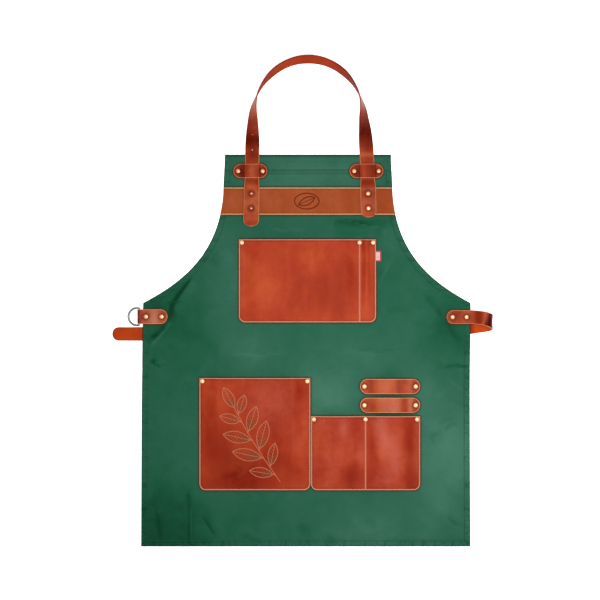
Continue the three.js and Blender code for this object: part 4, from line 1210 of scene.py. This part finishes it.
def strip(node, slot, material, rise, bands, shift=0.0):
    """A short strip with round ends, bowed up by rise()."""
    low, high = plan_box(node)
    half_length, half = (high[0] - low[0]) / 2, (high[1] - low[1]) / 2
    mid_x, mid_y = (low[0] + high[0]) / 2, (low[1] + high[1]) / 2
    turn = np.radians([8, 16, 26, 38, 50, 64, 78, 90])
    ends = half_length - half + half * np.cos(turn)
    inner = np.arange(-ends[-1] + STRIP_STEP, ends[-1] - STRIP_STEP / 2, STRIP_STEP)
    along = np.concatenate([-ends, inner, ends[::-1]])
    reach = half * np.concatenate([np.sin(turn), np.ones(len(inner)), np.sin(turn)[::-1]])
    share = span(2 * half, STRIP_ROW) / half - 1
    x = mid_x + np.repeat(along[None, :], len(share), 0)
    y = mid_y + share[:, None] * reach[None, :]
    dx = np.maximum(np.abs(x - mid_x) - (half_length - half), 0)
    edge = np.maximum(half - np.hypot(dx, y - mid_y), 0)
    press = pressed(x, y, fasteners_on(low, high))
    base = seat(x, y) + rise(x - mid_x + shift)
    top = base + GAP + PANEL - PRESS_DEPTH * press - arc_drop(edge, EDGE_ROUND)
    piece = slab(f"{node}_leather", x, y, base + PANEL_UNDER, top,
                 {"edge": edge, "press": press, "tone": stripes(x - mid_x, bands)})
    finish_piece(piece, material, "root", slot, node)


def keeper_rise(x):
    return (STRAP + GAP) * plateau(np.abs(x), NECK_WIDTH / 2 + KEEPER_PLAY, KEEPER_RAMP)


def loop_rise(x):
    return LOOP_RISE * plateau(np.abs(x), LOOP_FOOT - LOOP_SHOULDER, LOOP_SHOULDER)


# Straps: a rounded section carried along stations

BURNISHED = 4.0
STRAP_EDGE = 0.9
SECTION_COLUMNS = 13


def strap_section(thickness):
    """Points round a strap's section: share across, height off its middle plane, how far past that share
    in millimetres, and the face, 1 above and -1 below."""
    turn = np.radians([18, 45, 72])
    out = STRAP_EDGE * np.sin(turn)
    up = thickness / 2 - STRAP_EDGE * (1 - np.cos(turn))
    half = [(share, thickness / 2, 0, 1) for share in np.linspace(-1, 1, SECTION_COLUMNS)]
    half += [(1, z, x, 0.5) for x, z in zip(out, up)]
    half += [(1, -z, x, -0.5) for x, z in zip(out[::-1], up[::-1])]
    return np.concatenate([half, np.negative(half)])


def strap_mesh(name, middle, across, normal, half, thickness, press, tone, inner_tone=0.0, raw=True):
    """A strap along its stations, with its lower face in the second material."""
    section = strap_section(thickness)
    stations, corners = len(middle), len(section)
    inner_half = np.maximum(half - STRAP_EDGE, 0.05)
    squeeze = np.minimum(1, half / STRAP_EDGE)
    side = section[None, :, 0] * inner_half[:, None] + section[None, :, 2] * squeeze[:, None]
    points = middle[:, None, :] + side[..., None] * across[:, None, :]
    points = points + section[None, :, 1:2] * normal[:, None, :]
    index = np.arange(stations * corners).reshape(stations, corners)
    turned = np.roll(index, -1, 1)
    walls = np.stack([index[:-1], index[1:], turned[1:], turned[:-1]], -1).reshape(-1, 4)
    k = np.arange(corners // 2 - 1)
    ends = [np.stack([ring[k], ring[k + 1], ring[corners - 2 - k], ring[corners - 1 - k]], -1)
            for ring in (index[0], index[-1])]
    run = path_lengths(middle)
    edge = np.minimum(half[:, None] - np.abs(side), np.minimum(run, run[-1] - run)[:, None])
    edge = np.where(np.reshape(raw, (-1, 1)), edge, edge + BURNISHED)
    flat = points.reshape(-1, 3)
    attributes = {
        "edge": np.maximum(edge, 0),
        "press": pressed(flat[:, 0], flat[:, 1], press, 5.0, 3.0),
        # tone carries painted light and shade for the upper face and for the lower face
        "tone": np.where(section[None, :, 1] > 0, tone[:, None], np.reshape(inner_tone, (-1, 1))),
    }
    piece = mesh_object(name, flat, np.concatenate([walls, ends[0], ends[1][:, ::-1]]), attributes, 60)
    below = section[:, 3] + np.roll(section[:, 3], -1) < -1.2
    slots = np.zeros(len(walls) + 2 * len(k), np.int32)
    slots[: len(walls)] = np.tile(below, stations - 1)
    if len(slots) == len(piece.data.polygons):
        piece.data.polygons.foreach_set("material_index", slots)
    return piece


def round_end(half, from_end, radius):
    inside = np.clip((from_end + 0.02) / radius, 0, 1)
    return half * np.sqrt(1 - (1 - inside) ** 2) ** 0.9


def bezier(a, b, c, count):
    t = np.linspace(0, 1, count)[:, None]
    return (1 - t) ** 2 * np.array(a) + 2 * t * (1 - t) * np.array(b) + t**2 * np.array(c)


ROUTE_STEPS = 300
ARCH_STEPS = 600
STATION_STEP = 2.6
END_STEPS = (0, 0.01, 0.04, 0.09, 0.16, 0.26, 0.38, 0.52, 0.68, 0.85)
CURVE_STEPS = 60
FINE_STARTS = 230
FINE_ENDS = 90
BAND_TO_BIB = 16
BAND_TO_BIB_LENGTH = 12
ARCH_SLOPE = 20


def neck_route():
    """Plan of the neck strap's line from its left end over the arch to its right end."""
    foot = BODY_HEIGHT + ARCH_FOOT
    knee = BODY_HEIGHT + LEG_KNEE
    left = bezier((LEFT_LEG_X, LOWER_STUD_Y - LEFT_TAIL), (LEFT_LEG_X + LEG_KNEE_IN, knee),
                  (ARCH_SHIFT - ARCH_HALF_WIDTH, foot), ROUTE_STEPS)
    turn = np.linspace(math.pi, 0, ARCH_STEPS)
    arch = np.stack([ARCH_SHIFT + ARCH_HALF_WIDTH * np.cos(turn), foot + ARCH_RISE * np.sin(turn)], -1)
    right = bezier((ARCH_SHIFT + ARCH_HALF_WIDTH, foot), (RIGHT_LEG_X - LEG_KNEE_IN, knee),
                   (RIGHT_LEG_X, LOWER_STUD_Y - RIGHT_TAIL), ROUTE_STEPS)
    return np.concatenate([left[:-1], arch, right[1:]])


def end_spaced(total, radius):
    """Stations along a strap, close together at its round ends."""
    ends = radius * np.array(END_STEPS)
    return np.concatenate([ends, np.arange(radius, total - radius, STATION_STEP), total - ends[::-1]])


def neck_turn(share):
    """How far the neck strap is turned on its edge, from the middle of its arch (0) to its legs (1)."""
    degrees = np.interp(share, NECK_TWIST_SHARE, NECK_TWIST_DEGREES)
    evened = np.convolve(np.pad(degrees, 4, mode="edge"), np.ones(9) / 9, mode="valid")
    return np.radians(np.where(share < 0.97, evened, degrees))


def neck_strap():
    route = neck_route()
    length = path_lengths(route)
    total = length[-1]
    foot_index = ROUTE_STEPS - 1
    middle_at = (length[foot_index] + length[foot_index + ARCH_STEPS - 1]) / 2
    flat_from = float(np.interp(BODY_HEIGHT + 2, route[:foot_index, 1], length[:foot_index]))
    at = end_spaced(total, TAIL_ROUND)
    plan = points_at(route, length, at)
    run = heading_at(route, length, at, 3)
    outward = np.stack([-run[:, 1], run[:, 0], np.zeros(len(run))], -1)
    share = np.clip(np.abs(at - middle_at) / (middle_at - flat_from), 0, 1)
    turn = neck_turn(share)
    up = np.array([0, 0, 1.0])
    normal = np.cos(turn)[:, None] * up + np.sin(turn)[:, None] * outward
    across = np.cos(turn)[:, None] * outward - np.sin(turn)[:, None] * up
    y = plan[:, 1]
    on_bib = float(seat(LEFT_LEG_X, KEEPER_Y)) + GAP + STRAP / 2
    _, band_high = plan_box("chest_band")
    on_band = float(seat(LEFT_LEG_X, band_high[1])) + 2 * GAP + PANEL + STRAP / 2
    resting = lerp(on_bib, on_band, smooth((band_high[1] + BAND_TO_BIB - y) / BAND_TO_BIB_LENGTH))
    on_edge = NECK_WIDTH / 2 * np.sin(turn) + STRAP / 2 * np.abs(np.cos(turn))
    rising = np.maximum(resting - (y - BODY_HEIGHT) / ARCH_SLOPE, on_edge)
    height = np.where(y < BODY_HEIGHT + GAP, resting, rising)
    keeper_low, _ = plan_box("left_keeper")
    half = lerp(NECK_WIDTH, NECK_END_WIDTH, smooth((keeper_low[1] - y) / 25)) / 2
    from_end = np.minimum(at, total - at)
    half = np.where(from_end < TAIL_ROUND, round_end(half, from_end, TAIL_ROUND), half)
    middle = np.column_stack([plan, height])
    places = [plan_centre(name) for name in ("neck_stud_1", "neck_stud_2", "neck_rivet_1", "neck_rivet_2")]
    legs = at < middle_at
    # Painted highlights and shade along the legs, and painted shade on the strap's other face at the top of
    # the arch
    tone = np.where(legs, stripes(y, LEFT_LEG_BANDS), stripes(y, RIGHT_LEG_BANDS))
    raw = y < BODY_HEIGHT + LEG_KNEE
    shade = stripes(y, ARCH_BANDS)
    piece = strap_mesh("neck_strap_leather", middle, across, normal, half, STRAP, places, tone, shade, raw)
    tools = []
    for k in ADJUSTING_HOLES:
        level = LOWER_STUD_Y + k * STUD_PITCH
        station = int(np.argmin(np.where(legs, np.abs(y - level), 1e9)))
        tools.append(punch(middle[station], normal[station], ADJUSTING_HOLE_RADIUS))
    for place in places[:2]:
        tools.append(punch(np.array([*place, on_band]), up, STUD_HOLE_RADIUS))
    cut(piece, tools)
    finish_piece(piece, [STRAP_LEATHER, STRAP_INNER], "root", "strap_leather", "neck_strap")


PUNCH_SIDES = 24
PUNCH_REACH = 6


def punch(place, axis, radius):
    """A round tool for one hole."""
    turn = np.arange(PUNCH_SIDES)[:, None] * 2 * math.pi / PUNCH_SIDES
    side = unit(np.cross(axis, [0, 1, 0]))
    ring = radius * (side * np.cos(turn) + np.cross(axis, side) * np.sin(turn))
    points = np.concatenate([place - axis * PUNCH_REACH + ring, place + axis * PUNCH_REACH + ring])
    lower = np.arange(PUNCH_SIDES)
    onward = np.roll(lower, -1)
    walls = np.stack([lower, onward, onward + PUNCH_SIDES, lower + PUNCH_SIDES], -1)
    faces = [*walls.tolist(), lower[::-1].tolist(), (lower + PUNCH_SIDES).tolist()]
    mesh = bpy.data.meshes.new("punch")
    mesh.from_pydata(to_frame(points).tolist(), [], faces)
    return bpy.data.objects.new("punch", mesh)


def cut(piece, tools):
    """Takes the tools' shapes out of a piece."""
    group = bpy.data.collections.new(f"{piece.name}_tools")
    for tool in tools:
        group.objects.link(tool)
    modifier = piece.modifiers.new("holes", "BOOLEAN")
    modifier.operand_type = "COLLECTION"
    modifier.collection = group
    modifier.solver = "EXACT"
    bpy.context.view_layer.update()
    graph = bpy.context.evaluated_depsgraph_get()
    result = bpy.data.meshes.new_from_object(piece.evaluated_get(graph))
    piece.modifiers.clear()
    piece.data = result
    for tool in tools:
        bpy.data.objects.remove(tool)
    bpy.data.collections.remove(group)


def catmull(points):
    """A centripetal curve through points."""
    points = np.asarray(points, float)
    points = np.concatenate([[2 * points[0] - points[1]], points, [2 * points[-1] - points[-2]]])
    knots = np.concatenate([[0], np.cumsum(np.linalg.norm(np.diff(points, axis=0), axis=1) ** 0.5)])

    def blend(t, first, last, a, b):
        return lerp(a, b, (t - knots[first]) / (knots[last] - knots[first]))

    samples = []
    for k in range(1, len(points) - 2):
        t = np.linspace(knots[k], knots[k + 1], CURVE_STEPS, endpoint=False)[:, None]
        a, b, c = (blend(t, j, j + 1, points[j], points[j + 1]) for j in (k - 1, k, k + 1))
        samples.append(blend(t, k, k + 1, blend(t, k - 1, k + 1, a, b), blend(t, k, k + 2, b, c)))
    return np.concatenate([*samples, points[-2:-1]])


def waist_strap():
    low = STRAP / 2
    high = RIDGE_LIFT + CLOTH_FRONT + GAP + low
    edge_x = HIP_HALF_WIDTH
    route = [(edge_x - inset, WAIST_FRONT_Y, high) for inset in (WAIST_INSET, 34, 5.5, -GAP)]
    for out, down, rise in WAIST_BEND:
        y = lerp(WAIST_FRONT_Y, WAIST_LINE_RIGHT, down)
        z = low + rise * (WAIST_LOOP_HEIGHT - low)
        route.append((edge_x + out * WAIST_LOOP_REACH - low, y, max(high, z) if out < 0.2 else z))
    for x in np.linspace(edge_x, -edge_x, 7):
        route.append((x, float(waist_line_y(x)), low))
    route.append((-edge_x - WAIST_TAIL_REACH, WAIST_LINE_LEFT, low))
    line = catmull(route)
    length = path_lengths(line)
    total = length[-1]
    at = end_spaced(total, WAIST_ROUND)
    at = at[(at < FINE_STARTS) | (at > total - FINE_ENDS) | (np.arange(len(at)) % 4 == 0)]
    middle = points_at(line, length, at)
    run = heading_at(line, length, at, 1.5)
    sideways = np.array([0, 1.0, 0])
    across = unit(sideways - run * (run @ sideways)[:, None])
    normal = np.cross(run, across)
    middle[:, 2] = np.maximum(middle[:, 2], low)
    half = round_end(WAIST_WIDTH / 2, np.minimum(at, total - at), WAIST_ROUND)
    places = [plan_centre(name) for name in ("waist_rivet_1", "waist_rivet_2")]
    x = middle[:, 0]
    # Painted light and shade on the loop's outer face, darkest on its outer bend; on its inner face painted
    # shade near the cloth and painted bounce light round the bend
    tone = stripes(x, WAIST_BANDS) - smooth((x - WAIST_SHADE_FROM) / 4)
    tone = np.where(middle[:, 2] > 2 * low, tone, 0)
    inner_tone = np.where(x > edge_x - 2, 1.3 * smooth((x - edge_x) / 14) - 0.6, 0.25)
    piece = strap_mesh("waist_strap_leather", middle, across, normal, half, STRAP, places, tone, inner_tone)
    finish_piece(piece, [STRAP_LEATHER, STRAP_INNER], "root", "strap_leather", "waist_strap")


# Tab and D-ring

RING_WIRE = 3.6
BOW_WIRE = 4.6
RING_OUTER = 39
RING_DEPTH = 24.5
RING_CORNER = 2.1
RING_PLAY = 0.5
RING_SIDES = 20
BAR_X = -339
BAR_Z = 4.7
TAB_BACK_Z = 2.2
TAB_FRONT_Z = 7.2
# Painted light and shade along the tab, each (place across, reach, strength)
TAB_BANDS = ((-341, 2.2, -0.9), (-334, 4, 0.1), (-309, 9, 0.6))


def ring_tab():
    fold = RING_WIRE / 2 + RING_PLAY + TAB / 2
    end = tab_high[0]
    radius = (tab_high[1] - tab_low[1]) / 2
    straight = np.arange(end - radius - 2, -HIP_HALF_WIDTH + 2, -2.0)
    inward = np.concatenate([end - radius * np.array([*END_STEPS, 1]), straight])
    turn = np.radians(np.linspace(270, 90, 19))
    xs = np.concatenate([inward, BAR_X + fold * np.cos(turn), inward[::-1]])
    zs = np.concatenate([np.full(len(inward), TAB_BACK_Z), BAR_Z + fold * np.sin(turn),
                         np.full(len(inward), TAB_FRONT_Z)])
    middle = np.stack([xs, np.full(len(xs), TAB_Y), zs], -1)
    run = unit(np.gradient(middle, axis=0))
    across = np.repeat([[0, 1.0, 0]], len(xs), 0)
    normal = np.cross(run, across)
    half = round_end(radius, end - xs, radius)
    places = [plan_centre(name) for name in ("tab_rivet_1", "tab_rivet_2")]
    tone = stripes(xs, TAB_BANDS)
    piece = strap_mesh("ring_tab_leather", middle, across, normal, half, TAB, places, tone)
    finish_piece(piece, [TAB_LEATHER, STRAP_INNER], "root", "strap_leather", "ring_tab")


def d_ring_line(radius):
    """The middle of the ring's wire, flat, from the lower corner up the bar and round the bow."""
    bow = RING_DEPTH - RING_WIRE / 2 - radius
    foot = radius - RING_CORNER
    turn = np.radians(np.linspace(0, 90, 7))
    corner = np.stack([RING_CORNER * (np.cos(turn) - 1), foot + RING_CORNER * np.sin(turn)], -1)
    bar = np.linspace((0, -foot), (0, foot), 12)[1:-1]
    turn = np.radians(np.linspace(90, 270, 49))
    back = np.stack([-bow + radius * np.cos(turn), radius * np.sin(turn)], -1)
    return np.concatenate([corner[::-1] * (1, -1), bar, corner, back])


def d_ring():
    line = d_ring_line((RING_OUTER - RING_WIRE) / 2)
    run = unit(np.roll(line, -1, 0) - np.roll(line, 1, 0))
    turn = np.arange(RING_SIDES) * 2 * math.pi / RING_SIDES
    wire = lerp(RING_WIRE, BOW_WIRE, smooth(-line[:, :1] / (RING_DEPTH / 2))) / 2
    flat_x = line[:, 0:1] + run[:, 1:2] * wire * np.cos(turn)
    flat_y = line[:, 1:2] - run[:, 0:1] * wire * np.cos(turn)
    flat_z = wire * np.sin(turn)
    tilt = math.asin((BAR_Z - BOW_WIRE / 2) / (RING_DEPTH - RING_WIRE / 2))
    x = BAR_X + flat_x * math.cos(tilt) - flat_z * math.sin(tilt)
    z = BAR_Z + flat_x * math.sin(tilt) + flat_z * math.cos(tilt)
    points = np.stack([x, TAB_Y + flat_y, z], -1).reshape(-1, 3)
    index = np.arange(len(points)).reshape(len(line), RING_SIDES)
    onward = np.roll(index, -1, 0)
    faces = np.stack([index, onward, np.roll(onward, -1, 1), np.roll(index, -1, 1)], -1).reshape(-1, 4)
    piece = mesh_object("d_ring_wire", points, faces)
    finish_piece(piece, RING_METAL, "ring", "ring_chrome", "d_ring")


# Rivets and studs

CAP_HEIGHT = 1.7
STUD_HEIGHT = 3.4
POST_RADIUS = 1.5
RIVET_SIDES = 36
CAP_RADIUS = 4.6
BALL_RADIUS = 3.2
BALL_SQUASH = 0.94


def lathe(name, place, profile):
    turn = np.arange(RIVET_SIDES) * 2 * math.pi / RIVET_SIDES
    r, z = np.array(profile, float).T
    points = np.stack([
        place[0] + r[:, None] * np.cos(turn)[None, :],
        place[1] + r[:, None] * np.sin(turn)[None, :],
        np.repeat(z[:, None], RIVET_SIDES, 1),
    ], -1).reshape(-1, 3)
    index = np.arange(len(points)).reshape(len(r), RIVET_SIDES)
    near = np.roll(index, -1, 1)
    faces = np.stack([index[:-1], near[:-1], near[1:], index[1:]], -1).reshape(-1, 4)
    return mesh_object(name, points, faces[:, ::-1], None, 50)


def ball_head(top, under):
    turn = np.radians(np.linspace(90, -62, 14))
    tall = BALL_SQUASH * BALL_RADIUS
    head = [(max(0.01, BALL_RADIUS * math.cos(t)), top - tall + tall * math.sin(t)) for t in turn]
    return head + [(1.9, under + 0.25), (1.9, under), (2.4, under - 0.1)]


def cap_head(under):
    dome = CAP_HEIGHT - 0.45
    head = [(CAP_RADIUS * 0.93 * t, under + 0.45 + dome * math.sqrt(max(0, 1 - 0.93 * t**2.3)))
            for t in np.linspace(0.004, 1, 12)]
    rim = ((0.965, 0.66), (1, 0.42), (1, 0.18), (0.96, 0), (0.8, -0.05))
    return head + [(CAP_RADIUS * share, under + up) for share, up in rim]


def fastener(node):
    low, high = plan_box(node)
    ball = "stud" in node
    under = high[2] - (STUD_HEIGHT if ball else CAP_HEIGHT) - 0.12
    head = ball_head(high[2], under) if ball else cap_head(under)
    back = low[2]
    profile = head + [(POST_RADIUS, under), (POST_RADIUS, back + 0.9), (3.9, back + 0.9), (4.15, back + 0.7),
                      (4.15, back + 0.4), (3.8, back + 0.15), (2.6, back + 0.03), (0.01, back)]
    piece = lathe(f"{node}_metal", plan_centre(node), profile)
    on_pocket = "_pocket_" in node or "_loop_" in node
    metal = BRASS if on_pocket else COPPER if node.startswith("tab_") else RED_COPPER
    finish_piece(piece, metal, "root", "rivet_brass", node)


LABEL_TUCK = 1.5
LABEL_CURL = 0.5
LABEL_THICKNESS = 0.7
LABEL_STEP = 0.8


def pocket_label():
    low, high = plan_box("pocket_label")
    start = low[0] - LABEL_TUCK
    xs = start + span(high[0] - start, LABEL_STEP)
    ys = low[1] + span(high[1] - low[1], LABEL_STEP)
    x, y = np.meshgrid(xs, ys)
    edge = np.minimum(np.minimum(high[0] - x, x - start + 2), np.minimum(y - low[1], high[1] - y))
    curl = LABEL_CURL * smooth((x - low[0]) / (high[0] - low[0]))
    base = seat(x, y) + 0.1 + curl
    piece = slab("pocket_label_cloth", x, y, base, base + LABEL_THICKNESS, {"edge": np.maximum(edge, 0)})
    finish_piece(piece, LABEL_CLOTH, "root", "label_cloth", "pocket_label")


# Build every piece

def divider_places(node):
    """A pocket's inner rivets, each at the head of a seam."""
    return sorted(x for x, _ in fasteners_on(*plan_box(node)))[1:-1]


canvas_body()
canvas_stitches()
chest_band()
for node_name, leather, spots, design, step in (
    ("chest_pocket", CHEST_LEATHER, CHEST_PATCHES, None, 2.2),
    ("lower_left_pocket", ENGRAVED_LEATHER, LOWER_LEFT_PATCHES, sprig, 1.5),
    ("lower_right_pocket", LOWER_RIGHT_LEATHER, LOWER_RIGHT_PATCHES, None, 2.2),
):
    pocket(node_name, divider_places(node_name), leather, spots, design, step)
    pocket_stitches(node_name, divider_places(node_name))
strip("left_keeper", "strap_leather", STRAP_LEATHER, keeper_rise, LEFT_KEEPER_BANDS, LEFT_KEEPER_SHIFT)
strip("right_keeper", "strap_leather", STRAP_LEATHER, keeper_rise, RIGHT_KEEPER_BANDS, RIGHT_KEEPER_SHIFT)
strip("upper_tool_loop", "pocket_leather", LOOP_LEATHER, loop_rise, UPPER_LOOP_BANDS)
strip("lower_tool_loop", "pocket_leather", LOOP_LEATHER, loop_rise, LOWER_LOOP_BANDS)
neck_strap()
waist_strap()
ring_tab()
d_ring()
pocket_label()
for node_name in FASTENERS:
    fastener(node_name)


# Floor, light and camera

PHOTO_WIDTH = 600
MM_PER_PIXEL = 2.042
PHOTO_CENTRE_X = -11.7
PHOTO_CENTRE_Y = 503.2
CAMERA_HEIGHT = 6.0
SENSOR = 36.0
FLOOR_HALF = 6.0
LAMP_PLACE = (0.2, -0.05, 1.0)
LAMP_AIM = (0.2, -0.05, 0.0)
LAMP_SIZE = (0.7, 0.7)
LAMP_POWER = 13
SKY_LEVELS = ((0.0, 1.5), (0.2, 1.35), (0.42, 0.55), (0.75, 0.5), (0.9, 1.1), (1.0, 1.3))


def floor():
    mesh = bpy.data.meshes.new("floor")
    half = FLOOR_HALF
    corners = [(-half, -half, 0), (half, -half, 0), (half, half, 0), (-half, half, 0)]
    mesh.from_pydata(corners, [], [(0, 1, 2, 3)])
    piece = bpy.data.objects.new("floor", mesh)
    piece.location.z = -0.0002
    bpy.context.scene.collection.objects.link(piece)
    n = Nodes("floor_paper")
    paper = n.look(Base_Color=(0.93, 0.93, 0.93, 1), Roughness=0.9, Specular_IOR_Level=0.1,
                   Emission_Color=(1, 1, 1, 1), Emission_Strength=0.6)
    piece.data.materials.append(paper)


def overhead_light():
    data = bpy.data.lights.new("overhead", "AREA")
    data.shape = "RECTANGLE"
    data.size, data.size_y = LAMP_SIZE
    data.energy = LAMP_POWER
    lamp = bpy.data.objects.new("overhead", data)
    lamp.location = LAMP_PLACE
    lamp.visible_camera = False
    lamp.rotation_euler = (Vector(LAMP_AIM) - Vector(LAMP_PLACE)).to_track_quat("-Z", "Y").to_euler()
    bpy.context.scene.collection.objects.link(lamp)


def world():
    n = Nodes("studio", bpy.data.worlds, "Background")
    stops = [(position, (level, level, level, 1)) for position, level in SKY_LEVELS]
    bpy.context.scene.world = n.look(Color=n.ramp(n.axis("Z", "Generated"), stops), Strength=1.0)


def camera():
    data = bpy.data.cameras.new("camera")
    data.sensor_width = SENSOR
    data.lens = SENSOR * CAMERA_HEIGHT * 1000 / (PHOTO_WIDTH * MM_PER_PIXEL)
    made = bpy.data.objects.new("camera", data)
    centre = to_frame([PHOTO_CENTRE_X, PHOTO_CENTRE_Y, 0])
    made.location = (centre[0], centre[1], CAMERA_HEIGHT)
    data.clip_end = 50
    bpy.context.scene.collection.objects.link(made)
    bpy.context.scene.camera = made


floor()
overhead_light()
world()
camera()
bpy.context.scene.view_settings.view_transform = "Standard"
